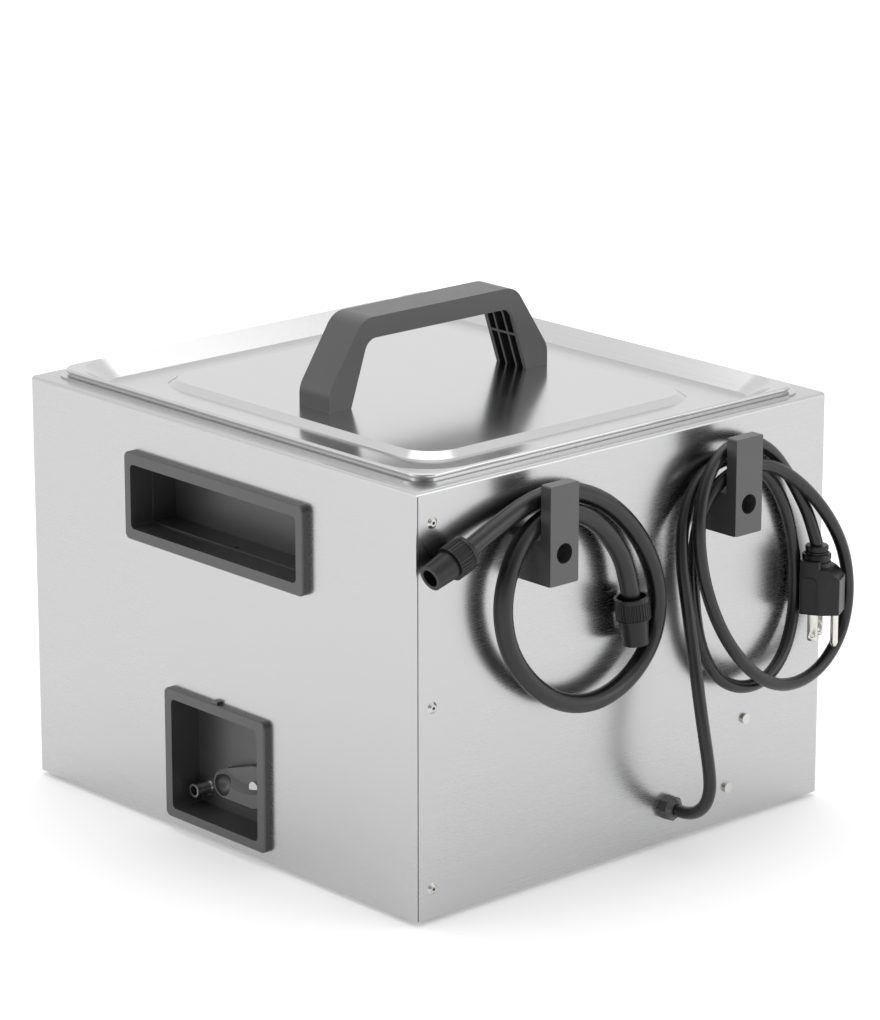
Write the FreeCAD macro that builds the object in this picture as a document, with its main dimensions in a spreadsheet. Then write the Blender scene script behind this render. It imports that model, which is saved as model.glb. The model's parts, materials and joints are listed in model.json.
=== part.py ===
# Heated water bath: stainless casing with a drained tank, lift-off lid, side grips, drain
# valve in a recess, and two rear hooks that carry the drain hose and the mains cord.
# Frame: millimetres, +Z up, origin on the surface it stands on, under the casing's centre.
# The controls face -Y, the hooks face +Y, and the drain valve faces +X.

import FreeCAD, Part
import math
import os
import re
import Sketcher

V = FreeCAD.Vector
os.makedirs("parts", exist_ok=True)
doc = FreeCAD.newDocument("heated_bath")

# ---------------------------------------------------------------- driving dimensions
DIMENSIONS = [
    ("foot_gap", 3.0, "casing's underside above the surface"),
    ("casing_x", 333.0, "casing width"),
    ("casing_y", 355.0, "casing depth"),
    ("casing_z", 255.0, "casing height"),
    ("sheet", 1.0, "casing sheet thickness"),
    ("corner_bend", 3.5, "outer radius of the casing's bent corners"),
    ("deck_bend", 2.0, "outer radius of the fold into the deck"),
    ("base_flange", 26.0, "inward fold round the casing's underside"),
    ("seam_gap", 0.8, "open gap at the riveted corner"),
    ("seam_edge", 0.8, "from the casing's side to the gap"),
    ("seam_flange", 22.0, "flange behind the riveted seam"),
    ("base_sheet", 1.2, "base plate thickness"),
    ("base_clear", 1.0, "gap round the base plate"),
    ("vent_long", 60.0, "vent slot length"),
    ("vent_wide", 4.0, "vent slot width"),
    ("vent_pitch", 14.0, "vent slot spacing"),
    ("vent_count", 6.0, "vent slots in a row"),
    ("foot_radius", 9.0, "rubber foot"),
    ("foot_stem", 3.0, "foot stem radius"),
    ("foot_inset", 16.0, "foot centre from the casing's sides"),
    ("base_screw", 1.6, "base screw radius"),
    ("base_screw_inset", 12.0, "base screws from the casing's sides"),
    ("tank_sheet", 0.8, "tank sheet thickness"),
    ("rim_x", 312.0, "tank rim width"),
    ("rim_y", 340.0, "tank rim depth"),
    ("rim_thick", 1.0, "tank rim thickness"),
    ("rim_corner", 15.0, "tank rim corner radius"),
    ("mouth_x", 295.0, "tank mouth width"),
    ("mouth_y", 323.0, "tank mouth depth"),
    ("mouth_corner", 30.0, "tank mouth corner radius"),
    ("ledge_drop", 14.0, "tank ledge below the deck"),
    ("deck_clear", 0.7, "deck opening round the tank"),
    ("tank_x", 260.0, "tank inside width"),
    ("tank_y", 290.0, "tank inside depth"),
    ("tank_shift", 6.0, "tank centre towards the back"),
    ("tank_floor", 78.0, "tank's inside floor above the surface"),
    ("tank_corner", 25.0, "tank upright corner radius"),
    ("tank_bottom_bend", 12.0, "tank floor corner radius"),
    ("lid_sheet", 0.8, "lid sheet thickness"),
    ("lid_x", 304.0, "lid width"),
    ("lid_y", 334.0, "lid depth"),
    ("lid_corner", 12.0, "lid corner radius"),
    ("lid_rim", 4.0, "lid's turned-down rim height"),
    ("bead_inset", 1.6, "step in under the lid's rolled rim"),
    ("bead_gap", 1.1, "height of the step under the rolled rim"),
    ("bead_round", 1.2, "rolled rim's edge radius"),
    ("dish_edge", 1.0, "flat edge between the lid's rim and its dish"),
    ("dish_corner", 35.0, "dish corner radius at the top"),
    ("dish_drop", 9.0, "dish floor below the lid's top"),
    ("dish_x", 275.5, "dish floor width"),
    ("dish_y", 299.0, "dish floor depth"),
    ("dish_floor_corner", 20.0, "dish floor corner radius"),
    ("panel_x", 224.0, "raised middle's width at its foot"),
    ("panel_y", 252.0, "raised middle's depth at its foot"),
    ("panel_step", 3.6, "height of the raised middle"),
    ("panel_slope", 5.0, "run of the raised middle's edge"),
    ("panel_corner", 24.0, "raised middle's corner radius at its foot"),
    ("handle_half", 89.0, "half the handle's length"),
    ("handle_deep", 27.0, "handle's width across"),
    ("handle_rise", 53.4, "handle's height above the lid"),
    ("handle_foot_rise", 12.0, "upright part of the handle's foot"),
    ("handle_top_half", 62.0, "half the handle's outer top corner spacing"),
    ("handle_foot_thick", 17.5, "handle foot along its length"),
    ("handle_inner_half", 58.0, "half the handle's inner top corner spacing"),
    ("handle_bar", 13.0, "handle's bar thickness"),
    ("handle_outer_round", 15.0, "handle's outer corner rounding"),
    ("handle_inner_round", 9.0, "handle's inner corner rounding"),
    ("handle_wall", 3.0, "handle wall round its hollow legs"),
    ("handle_rib", 1.6, "rib thickness in the handle's legs"),
    ("handle_boss", 4.5, "screw boss radius in the handle's feet"),
    ("handle_screw", 2.0, "handle screw radius"),
    ("grip_y", 2.8, "grip centre along the casing"),
    ("grip_z", 204.2, "grip centre height"),
    ("grip_long", 164.6, "grip frame length"),
    ("grip_tall", 54.5, "grip frame height"),
    ("grip_proud", 4.8, "grip frame thickness outside the casing"),
    ("grip_open_long", 152.5, "grip opening length"),
    ("grip_open_tall", 40.0, "grip opening height"),
    ("grip_depth", 29.0, "grip pocket depth behind the casing's face"),
    ("grip_step_depth", 12.0, "depth of the step in the grip pocket"),
    ("grip_step", 1.0, "size of the step in the grip pocket"),
    ("moulding", 2.0, "wall of the moulded pockets"),
    ("cutout_clear", 0.4, "casing cut-outs round what passes through"),
    ("recess_y", 1.0, "drain recess centre along the casing"),
    ("recess_z", 50.2, "drain recess centre height"),
    ("recess_long", 93.8, "drain recess frame length"),
    ("recess_tall", 82.0, "drain recess frame height"),
    ("recess_proud", 4.1, "drain recess frame thickness outside the casing"),
    ("recess_open_long", 80.0, "drain recess opening length"),
    ("recess_open_tall", 69.5, "drain recess opening height"),
    ("recess_depth", 17.0, "drain recess depth behind the casing's face"),
    ("frame_corner", 4.0, "corner radius of the moulded frames"),
    ("frame_edge", 1.2, "softened front edge of the moulded frames"),
    ("opening_corner", 3.0, "corner radius of the moulded openings"),
    ("valve_y", 22.0, "valve axis along the casing"),
    ("valve_z", 41.0, "valve axis height"),
    ("valve_long", 29.0, "valve body length behind the recess"),
    ("valve_wide", 28.0, "valve body width"),
    ("valve_low", 23.0, "valve body below its axis"),
    ("valve_high", 15.0, "valve body above its axis"),
    ("spindle", 4.0, "valve spindle radius"),
    ("spindle_clear", 0.05, "running clearance round the spindle"),
    ("lever_hub", 13.0, "lever's hub radius"),
    ("lever_tip", 9.0, "lever's tip radius"),
    ("lever_reach", 26.0, "lever tip centre from the axis"),
    ("lever_droop", 4.0, "lever tip centre below the axis"),
    ("lever_thick", 10.0, "lever thickness"),
    ("lever_gap", 0.8, "lever clear of the recess wall"),
    ("scoop", 50.0, "radius of the lever's thumb scoop"),
    ("outlet_y", -31.0, "outlet spigot along the casing"),
    ("outlet_z", 26.0, "outlet spigot height"),
    ("outlet_radius", 4.25, "outlet spigot outer radius"),
    ("outlet_shank", 5.2, "outlet pipe outer radius behind the recess"),
    ("outlet_bore", 3.0, "outlet spigot bore radius"),
    ("outlet_long", 11.0, "outlet spigot length in the recess"),
    ("drain_x", 104.0, "tank drain across the casing"),
    ("drain_flange", 13.0, "tank drain flange radius"),
    ("drain_stem", 8.0, "tank drain stem radius"),
    ("drain_bore", 5.0, "drain bore radius"),
    ("drain_stem_long", 16.0, "tank drain stem below the tank's floor"),
    ("heater_x", 190.0, "heater mat width"),
    ("heater_y", 230.0, "heater mat depth"),
    ("heater_thick", 2.0, "heater mat thickness"),
    ("heater_plate", 1.5, "heater clamp plate thickness"),
    ("heater_shift", -15.0, "heater mat centre away from the drain"),
    ("cutout_radius", 8.0, "thermal cut-out radius"),
    ("probe_radius", 3.0, "temperature probe radius"),
    ("probe_x", -60.0, "temperature probe across the tank"),
    ("wrap_thick", 5.0, "tank insulation thickness"),
    ("wrap_low", 125.0, "tank insulation lower edge"),
    ("wrap_high", 170.0, "tank insulation upper edge"),
    ("fascia_x", 214.0, "control panel width"),
    ("fascia_tall", 74.0, "control panel height"),
    ("fascia_z", 58.0, "control panel centre height"),
    ("fascia_thick", 2.5, "control panel thickness"),
    ("console_deep", 15.5, "control console's depth in front of the casing"),
    ("console_wall", 3.0, "control console's wall"),
    ("console_boss", 4.0, "screw boss radius in the console"),
    ("console_screw", 1.5, "console screw radius"),
    ("console_screw_inset", 5.5, "console screws from the panel's edges"),
    ("window_x", 60.0, "display window width"),
    ("window_tall", 24.0, "display window height"),
    ("window_at", -62.0, "display window centre"),
    ("key_radius", 6.0, "key radius"),
    ("key_clear", 0.3, "clearance round each key"),
    ("key_proud", 1.4, "key stands out of the panel"),
    ("key_first", -6.0, "first key's place"),
    ("key_pitch", 20.0, "key spacing"),
    ("switch_at", 82.0, "power switch centre"),
    ("switch_x", 27.0, "power switch body width"),
    ("switch_tall", 29.0, "power switch body height"),
    ("rocker_x", 14.0, "rocker width"),
    ("rocker_tall", 21.0, "rocker height"),
    ("rocker_tilt", 8.0, "rocker's tilt at rest, degrees"),
    ("board_x", 140.0, "control board width"),
    ("board_at", -22.0, "control board centre"),
    ("board_tall", 46.0, "control board height"),
    ("board_gap", 10.5, "control board behind the panel"),
    ("hook_spacing", 150.0, "distance between the two hooks"),
    ("hook_shift", 1.0, "hooks' middle off the casing's centre"),
    ("hook_wide", 22.0, "hook width"),
    ("hook_out", 25.0, "hook depth from the casing"),
    ("hook_plate", 8.0, "hook front plate thickness"),
    ("hook_low", 192.5, "hook's lower edge"),
    ("hook_rest", 217.5, "height that the coils rest on"),
    ("hook_high", 251.7, "hook's upper edge"),
    ("hook_hole_z", 210.9, "hook screw height"),
    ("hook_hole", 6.0, "hook's front hole radius"),
    ("hook_screw", 2.0, "hook screw radius"),
    ("rivet_inset", 12.0, "seam rivets from the casing's side"),
    ("rivet_pitch", 109.0, "seam rivet spacing"),
    ("rivet_mid", 130.0, "middle rivet's height"),
    ("rivet_head", 3.6, "rivet head radius"),
    ("rivet_shank", 2.0, "rivet shank radius"),
    ("gland_x", -35.0, "cord gland across the back"),
    ("gland_z", 24.5, "cord gland height"),
    ("gland_long", 8.5, "gland length outside the casing"),
    ("gland_radius", 7.8, "gland's outer radius over its facets"),
    ("gland_stem", 6.8, "gland stem radius"),
    ("cord_thick", 7.8, "mains cord diameter"),
    ("hose_thick", 11.4, "drain hose diameter"),
    ("coupling_collar", 10.4, "hose coupling collar radius"),
    ("coupling_collar_long", 13.5, "hose coupling collar length"),
    ("coupling_root", 8.6, "hose coupling barrel radius at the collar"),
    ("coupling_mouth", 7.7, "hose coupling barrel radius at its mouth"),
    ("coupling_long", 29.0, "hose coupling length"),
    ("coupling_bore", 4.3, "hose coupling bore radius"),
    ("coupling_bore_deep", 15.0, "hose coupling bore depth"),
    ("coupling_ribs", 32.0, "ribs round the collar"),
    ("coupling_seat", 5.3, "wider mouth of the coupling's bore, radius"),
    ("coupling_seat_deep", 5.0, "depth of the bore's wider mouth"),
    ("coupling_cup", 8.7, "radius of the collar's open cup round the hose"),
    ("coupling_cup_deep", 4.0, "depth of that cup"),
    ("plug_turn", 28.9, "plug's turn about its cord, degrees"),
    ("plug_relief_long", 8.0, "plug's strain relief length"),
    ("plug_relief", 7.0, "plug's strain relief radius"),
    ("plug_collar", 8.6, "radius of the collar under the strain relief"),
    ("plug_shoulder", 5.0, "blade side of the plug above its ground side"),
    ("plug_tall", 28.5, "plug body height at its ground side"),
    ("plug_across", 24.0, "plug body across the blades"),
    ("plug_deep", 24.0, "plug body from blades to ground pin"),
    ("plug_behind", 7.5, "plug body behind the blades"),
    ("blade_long", 17.6, "plug blade length"),
    ("blade_wide", 6.35, "plug blade width"),
    ("blade_thick", 1.5, "plug blade thickness"),
    ("blade_pitch", 12.7, "plug blade spacing"),
    ("pin_radius", 2.4, "ground pin radius"),
    ("pin_offset", 11.9, "ground pin from the blades"),
    ("pin_long", 21.4, "ground pin length"),
]

sheet = doc.addObject("Spreadsheet::Sheet", "Dimensions")
for row, (name, value, note) in enumerate(DIMENSIONS, start=1):
    sheet.set("A%d" % row, name)
    sheet.set("B%d" % row, repr(value))
    sheet.set("C%d" % row, note)
    sheet.setAlias("B%d" % row, name)
doc.recompute()
ALIASES = {name for name, value, note in DIMENSIONS}
nodes = []


def size(name):
    """A driving dimension's value, for shapes that are set with Part's own functions."""
    return float(getattr(sheet, name))


def bind(thing, prop, formula):
    """Bind a property to a formula of the sheet's aliases."""
    def cell(match):
        return "Dimensions." + match.group() if match.group() in ALIASES else match.group()
    thing.setExpression(prop, re.sub(r"[a-z_]+", cell, str(formula)))


def node(thing, label):
    """Name a finished sub-part and list it for export."""
    thing.Label = label
    nodes.append(thing)
    return thing


# ---------------------------------------------------------------- part primitives
def block(name, x, y, z):
    """A box between two formulas along each axis."""
    made = doc.addObject("Part::Box", name)
    for side, axis, (low, high) in zip(("Length", "Width", "Height"), "xyz", (x, y, z)):
        bind(made, side, "(%s) - (%s)" % (high, low))
        bind(made, "Placement.Base." + axis, low)
    return made


TURNS = {"x": FreeCAD.Rotation(V(0, 1, 0), 90), "y": FreeCAD.Rotation(V(1, 0, 0), -90),
         "z": FreeCAD.Rotation()}


def put(made, along, at):
    """Turn a primitive's own Z along an axis and bind its place."""
    made.Placement.Rotation = TURNS[along]
    for axis, formula in zip("xyz", at):
        bind(made, "Placement.Base." + axis, formula)
    return made


def rod(name, along, radius, at, length):
    made = doc.addObject("Part::Cylinder", name)
    bind(made, "Radius", radius)
    bind(made, "Height", length)
    return put(made, along, at)


def cone(name, along, radius, end_radius, at, length):
    made = doc.addObject("Part::Cone", name)
    bind(made, "Radius1", radius)
    bind(made, "Radius2", end_radius)
    bind(made, "Height", length)
    return put(made, along, at)


def prism(name, along, sides, radius, at, length):
    made = doc.addObject("Part::Prism", name)
    made.Polygon = sides
    bind(made, "Circumradius", radius)
    bind(made, "Height", length)
    return put(made, along, at)


def fuse(name, parts):
    if len(parts) == 1:
        return parts[0]
    made = doc.addObject("Part::MultiFuse", name)
    made.Shapes = parts
    return made


def common(name, first, second):
    made = doc.addObject("Part::Common", name)
    made.Base = first
    made.Tool = second
    return made


def cut(name, base, tools):
    made = doc.addObject("Part::Cut", name)
    made.Base = base
    made.Tool = fuse(name + "_tools", tools)
    return made


def group(name, parts):
    """Identical loose pieces that share one node as separate solids."""
    made = doc.addObject("Part::Compound", name)
    made.Links = parts
    return made


def mirror_x(name, source):
    made = doc.addObject("Part::Mirroring", name)
    made.Source = source
    made.Normal = V(1, 0, 0)
    return made


def rounded(name, base, radius, chosen):
    """Round the edges that chosen(edge) picks, with a radius from the sheet."""
    doc.recompute()
    made = doc.addObject("Part::Fillet", name)
    made.Base = base
    picked = [i for i, edge in enumerate(base.Shape.Edges, start=1) if chosen(edge)]
    made.Edges = [(i, size(radius), size(radius)) for i in picked]
    return made


def runs_along(axis):
    """Edges that run straight along one axis."""
    direction = {"x": V(1, 0, 0), "y": V(0, 1, 0), "z": V(0, 0, 1)}[axis]

    def chosen(edge):
        if not isinstance(edge.Curve, Part.Line):
            return False
        return abs(edge.Curve.Direction.dot(direction)) > 0.999
    return chosen


def rounded_block(name, x, y, z, radius, along):
    """A box whose four edges along one axis are rounded."""
    return rounded(name, block(name + "_box", x, y, z), radius, runs_along(along))


def between(middle, width):
    """The two formulas half a width each side of a middle."""
    return "%s - (%s) / 2" % (middle, width), "%s + (%s) / 2" % (middle, width)


# ---------------------------------------------------------------- part design
def new_body(name):
    return doc.addObject("PartDesign::Body", name)


def sketch_on(body, name, role, offset="0"):
    """An empty sketch on one of a body's own planes, moved along the plane's normal."""
    made = body.newObject("Sketcher::SketchObject", name)
    plane = [f for f in body.Origin.OriginFeatures if f.Role == role][0]
    made.AttachmentSupport = (plane, [""])
    made.MapMode = "FlatFace"
    bind(made, "AttachmentOffset.Base.z", offset)
    return made


def pin_point(made, line, end, across, up):
    """Bind one end of a line to formulas measured from the sketch's origin."""
    for kind, formula in (("DistanceX", across), ("DistanceY", up)):
        index = made.addConstraint(Sketcher.Constraint(kind, -1, 1, line, end, 1.0))
        bind(made, "Constraints[%d]" % index, formula)


def outline(made, corners):
    """A closed outline of straight lines through corners given as formulas."""
    count = len(corners)
    first = made.GeometryCount
    for i in range(count):
        start = V(math.cos(i * math.tau / count), math.sin(i * math.tau / count), 0)
        step = (i + 1) * math.tau / count
        made.addGeometry(Part.LineSegment(start, V(math.cos(step), math.sin(step), 0)), False)
    for i in range(count):
        joined = first + (i + 1) % count
        made.addConstraint(Sketcher.Constraint("Coincident", first + i, 2, joined, 1))
    for i, (across, up) in enumerate(corners):
        pin_point(made, first + i, 1, across, up)


def rectangle(made, across, up):
    """A rectangle between two formulas each way."""
    outline(made, [(across[0], up[0]), (across[1], up[0]), (across[1], up[1]), (across[0], up[1])])


def hole(made, radius, across, up):
    """A circle bound by its centre and radius."""
    index = made.addGeometry(Part.Circle(V(0, 0, 0), V(0, 0, 1), 1.0), False)
    for kind, formula in (("DistanceX", across), ("DistanceY", up)):
        spot = made.addConstraint(Sketcher.Constraint(kind, -1, 1, index, 3, 1.0))
        bind(made, "Constraints[%d]" % spot, formula)
    spot = made.addConstraint(Sketcher.Constraint("Radius", index, 1.0))
    bind(made, "Constraints[%d]" % spot, radius)


def feature(body, kind, profile, length, reverse=False, midplane=False):
    """A pad or pocket of a sketch."""
    made = body.newObject("PartDesign::" + kind, profile.Name + "_" + kind.lower())
    made.Profile = profile
    bind(made, "Length", length)
    made.Reversed = reverse
    made.Midplane = midplane
    profile.Visibility = False
    return made


def soften(body, base, name, radius, chosen):
    """A PartDesign fillet with its radius bound to the sheet."""
    doc.recompute()
    picked = ["Edge%d" % i for i, edge in enumerate(base.Shape.Edges, start=1) if chosen(edge)]
    made = body.newObject("PartDesign::Fillet", name)
    made.Base = (base, picked)
    bind(made, "Radius", radius)
    return made


# ---------------------------------------------------------------- cords and pipes
def rounded_path(points):
    """Straight runs joined by tangent arcs, each as large as its two runs allow."""
    share = 0.45
    corners = [V(*p) for p in points]
    edges = []
    radii = []
    last = corners[0]
    for before, here, after in zip(corners, corners[1:], corners[2:]):
        back = before - here
        ahead = after - here
        reach = share * min(back.Length, ahead.Length)
        half_turn = (math.pi - back.getAngle(ahead)) / 2
        radii.append(reach / math.tan(half_turn))
        start = here + back.normalize() * reach
        end = here + ahead.normalize() * reach
        inward = (back + ahead).normalize()
        middle = here + inward * (radii[-1] / math.cos(half_turn) - radii[-1])
        edges.append(Part.LineSegment(last, start).toShape())
        edges.append(Part.Arc(start, middle, end).toShape())
        last = end
    edges.append(Part.LineSegment(last, corners[-1]).toShape())
    return Part.Wire(edges), radii


def tube(name, points, diameter, bore=0.0):
    """A tube along a rounded path, checked against its section times its length."""
    path, radii = rounded_path(points)
    start = V(*points[0])
    heading = V(*points[1]) - start

    def swept(across):
        ring = Part.Wire(Part.makeCircle(across / 2, start, heading))
        return path.makePipeShell([ring], True, False)
    solid = swept(diameter)
    if bore:
        solid = solid.cut(swept(bore))
    section = math.pi * (diameter ** 2 - bore ** 2) / 4
    error = abs(solid.Volume / (section * path.Length) - 1)
    if error > 0.01:
        raise RuntimeError("%s: volume is off by %.3f" % (name, error))
    print("%s: length %.0f mm, radii %s" % (name, path.Length, ", ".join("%.0f" % r for r in radii)))
    made = doc.addObject("Part::Feature", name)
    made.Shape = solid
    made.Placement = FreeCAD.Placement()
    return made


# ---------------------------------------------------------------- shared places
RIGHT = "casing_x / 2"
BACK = "casing_y / 2"
FRONT = "-casing_y / 2"
DECK = "foot_gap + casing_z"
BACK_INSIDE = "casing_y / 2 - sheet"
CONSOLE = "-casing_y / 2 - console_deep"
BOARD_FACE = "-casing_y / 2 - console_deep + sheet + board_gap"
BASE_TOP = "foot_gap + sheet + base_sheet"
TANK_UNDER = "tank_floor - tank_sheet"
LID_TOP = "foot_gap + casing_z + rim_thick + lid_rim"
PANEL_TOP = "foot_gap + casing_z + rim_thick + lid_rim - dish_drop + panel_step"
HOOKS = {"hose_hook": "hook_shift + hook_spacing / 2", "cord_hook": "hook_shift - hook_spacing / 2"}
RECESS_BACK = "casing_x / 2 - recess_depth"
RIVET_X = "casing_x / 2 - rivet_inset"
RIVET_HEIGHTS = ["rivet_mid - rivet_pitch", "rivet_mid", "rivet_mid + rivet_pitch"]
REAR_SCREWS = [("-100", "65.5"), ("-85.5", "24.7")]
FEET = [(sx + "(casing_x / 2 - foot_inset)", sy + "(casing_y / 2 - foot_inset)")
        for sx in ("-", "") for sy in ("-", "")]
BASE_SCREWS = [("0", "-(casing_y / 2 - base_screw_inset)"), ("0", "casing_y / 2 - base_screw_inset"),
               ("-(casing_x / 2 - base_screw_inset)", "0"), ("casing_x / 2 - base_screw_inset", "0")]
CONSOLE_SCREWS = [(sx + "(fascia_x / 2 - console_screw_inset)",
                   "fascia_z " + sz + " (fascia_tall / 2 - console_screw_inset)")
                  for sx in ("-", "") for sz in ("-", "+")]
KEYS = ["key_down", "key_set", "key_up"]


# ---------------------------------------------------------------- casing and base
def make_casing():
    body = new_body("casing_body")
    plan = sketch_on(body, "casing_plan", "XY_Plane", "foot_gap")
    rectangle(plan, between("0", "casing_x"), between("0", "casing_y"))
    solid = feature(body, "Pad", plan, "casing_z")

    def bent_corner(edge):
        if not runs_along("z")(edge):
            return False
        spot = edge.CenterOfMass
        return not (spot.x > 0 and spot.y > 0)
    solid = soften(body, solid, "casing_bends", "corner_bend", bent_corner)

    def deck_edge(edge):
        return abs(edge.CenterOfMass.z - size("foot_gap") - size("casing_z")) < 0.01
    soften(body, solid, "deck_fold", "deck_bend", deck_edge)

    inside = sketch_on(body, "casing_inside", "XY_Plane", "foot_gap + casing_z - sheet")
    x, y = RIGHT + " - sheet", BACK_INSIDE
    short_x, short_y = RIGHT + " - corner_bend", BACK + " - corner_bend"
    outline(inside, [(x, y), ("-(%s)" % short_x, y), ("-(%s)" % x, short_y),
                     ("-(%s)" % x, "-(%s)" % short_y), ("-(%s)" % short_x, "-(%s)" % y),
                     (short_x, "-(%s)" % y), (x, "-(%s)" % short_y)])
    feature(body, "Pocket", inside, "casing_z - 2 * sheet")

    below = sketch_on(body, "underside_opening", "XY_Plane", "foot_gap + 2 * sheet")
    rectangle(below, between("0", "casing_x - 2 * base_flange"),
              between("0", "casing_y - 2 * base_flange"))
    feature(body, "Pocket", below, "3 * sheet")

    deck = sketch_on(body, "deck_opening", "XY_Plane", DECK + " + sheet")
    rectangle(deck, between("0", "mouth_x + 2 * tank_sheet + 2 * deck_clear"),
              between("0", "mouth_y + 2 * tank_sheet + 2 * deck_clear"))
    feature(body, "Pocket", deck, "3 * sheet")

    grips = sketch_on(body, "grip_cutouts", "YZ_Plane", RIGHT + " + sheet")
    rectangle(grips, between("grip_y", "grip_open_long + 2 * moulding + 2 * cutout_clear"),
              between("grip_z", "grip_open_tall + 2 * moulding + 2 * cutout_clear"))
    feature(body, "Pocket", grips, "casing_x + 2 * sheet")

    drain = sketch_on(body, "drain_cutout", "YZ_Plane", RIGHT + " + sheet")
    rectangle(drain, between("recess_y", "recess_open_long + 2 * moulding + 2 * cutout_clear"),
              between("recess_z", "recess_open_tall + 2 * moulding + 2 * cutout_clear"))
    feature(body, "Pocket", drain, "4 * sheet")

    flange = sketch_on(body, "seam_flange", "XY_Plane", "foot_gap")
    rectangle(flange, (RIGHT + " - seam_flange", RIGHT + " - sheet / 2"),
              (BACK_INSIDE + " - sheet", BACK_INSIDE))
    feature(body, "Pad", flange, "casing_z - sheet / 2")

    gap = sketch_on(body, "seam_gap", "XY_Plane", DECK + " - deck_bend")
    rectangle(gap, (RIGHT + " - seam_edge - seam_gap", RIGHT + " - seam_edge"),
              (BACK_INSIDE, BACK + " + sheet"))
    feature(body, "Pocket", gap, "casing_z + sheet")

    back = sketch_on(body, "back_holes", "XZ_Plane", "-(%s + sheet)" % BACK)
    for height in RIVET_HEIGHTS:
        hole(back, "rivet_shank", RIVET_X, height)
    for across in HOOKS.values():
        hole(back, "hook_screw", across, "hook_hole_z")
    for across, up in REAR_SCREWS:
        hole(back, "base_screw", across, up)
    hole(back, "gland_stem", "gland_x", "gland_z")
    feature(body, "Pocket", back, "4 * sheet", reverse=True)

    front = sketch_on(body, "front_holes", "XZ_Plane", BACK + " + sheet")
    rectangle(front, ("window_at - window_x / 2", "key_first + 2 * key_pitch + 2 * key_radius"),
              between("fascia_z", "window_tall"))
    rectangle(front, between("switch_at", "switch_x"), between("fascia_z", "switch_tall"))
    feature(body, "Pocket", front, "4 * sheet")

    under = sketch_on(body, "underside_holes", "XY_Plane", "foot_gap + 2 * sheet")
    for across, up in FEET:
        hole(under, "foot_stem", across, up)
    for across, up in BASE_SCREWS:
        hole(under, "base_screw", across, up)
    feature(body, "Pocket", under, "3 * sheet")
    return node(body, "casing")


def make_base_plate():
    body = new_body("base_plate_body")
    plan = sketch_on(body, "base_plan", "XY_Plane", "foot_gap + sheet")
    rectangle(plan, between("0", "casing_x - 2 * sheet - 2 * corner_bend - 2 * base_clear"),
              between("0", "casing_y - 4 * sheet - 2 * base_clear"))
    for across, up in FEET:
        hole(plan, "foot_stem", across, up)
    for across, up in BASE_SCREWS:
        hole(plan, "base_screw", across, up)
    feature(body, "Pad", plan, "base_sheet")
    for row, middle in (("left", "-60"), ("right", "60")):
        slot = sketch_on(body, "vent_" + row, "XY_Plane", BASE_TOP)
        rectangle(slot, between(middle, "vent_long"), ("-vent_wide / 2", "vent_wide / 2"))
        cutter = feature(body, "Pocket", slot, "3 * base_sheet", midplane=True)
        doc.recompute()
        pattern = body.newObject("PartDesign::LinearPattern", "vents_" + row)
        pattern.Originals = [cutter]
        pattern.Direction = (slot, ["V_Axis"])
        bind(pattern, "Length", "vent_pitch * (vent_count - 1)")
        bind(pattern, "Occurrences", "vent_count")
        body.Tip = pattern
    return node(body, "base_plate")


def make_feet():
    feet = []
    for i, (across, up) in enumerate(FEET):
        pad = rod("foot_pad_%d" % i, "z", "foot_radius", (across, up, "0"), "foot_gap")
        stem = rod("foot_stem_%d" % i, "z", "foot_stem", (across, up, "0"), BASE_TOP)
        feet.append(fuse("foot_%d" % i, [pad, stem]))
    return node(group("feet_group", feet), "feet")


def make_base_screws():
    screws = []
    for i, (across, up) in enumerate(BASE_SCREWS):
        head = rod("base_head_%d" % i, "z", "2 * base_screw", (across, up, "foot_gap - 1.6"), "1.6")
        shank = rod("base_shank_%d" % i, "z", "base_screw", (across, up, "foot_gap - 0.8"), "6")
        screws.append(fuse("base_screw_%d" % i, [head, shank]))
    return node(group("base_screw_group", screws), "base_screws")


# ---------------------------------------------------------------- tank
def make_tank():
    ledge = DECK + " - ledge_drop"
    middle = "tank_shift"
    rim = rounded_block("tank_rim", between("0", "rim_x"), between("0", "rim_y"),
                        (DECK, DECK + " + rim_thick"), "rim_corner", "z")
    mouth = rounded_block("tank_mouth_outer", between("0", "mouth_x + 2 * tank_sheet"),
                          between("0", "mouth_y + 2 * tank_sheet"),
                          (ledge + " - tank_sheet", DECK + " + rim_thick"), "mouth_corner", "z")
    well = tank_well("tank_well_outer", "2 * tank_sheet", TANK_UNDER, ledge)
    mouth_space = rounded_block("tank_mouth_space", between("0", "mouth_x"), between("0", "mouth_y"),
                                (ledge, DECK + " + 2 * rim_thick"), "mouth_corner", "z")
    well_space = tank_well("tank_well_space", "0", "tank_floor", ledge + " + tank_sheet")
    drain = rod("tank_drain_hole", "z", "drain_stem", ("drain_x", "valve_y", TANK_UNDER + " - 1"),
                "tank_sheet + 2")
    shell = fuse("tank_shell", [rim, mouth, well])
    return node(cut("tank_cut", shell, [mouth_space, well_space, drain]), "tank")


def tank_well(name, extra, low, high):
    """The tank's deep part, rounded at its upright corners and round its floor."""
    well = rounded_block(name + "_sides", between("0", "tank_x + " + extra),
                         between("tank_shift", "tank_y + " + extra), (low, high),
                         "tank_corner", "z")
    doc.recompute()
    floor = well.Shape.BoundBox.ZMin

    def floor_edge(edge):
        return abs(edge.BoundBox.ZMax - floor) < 0.01
    return rounded(name, well, "tank_bottom_bend", floor_edge)


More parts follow.
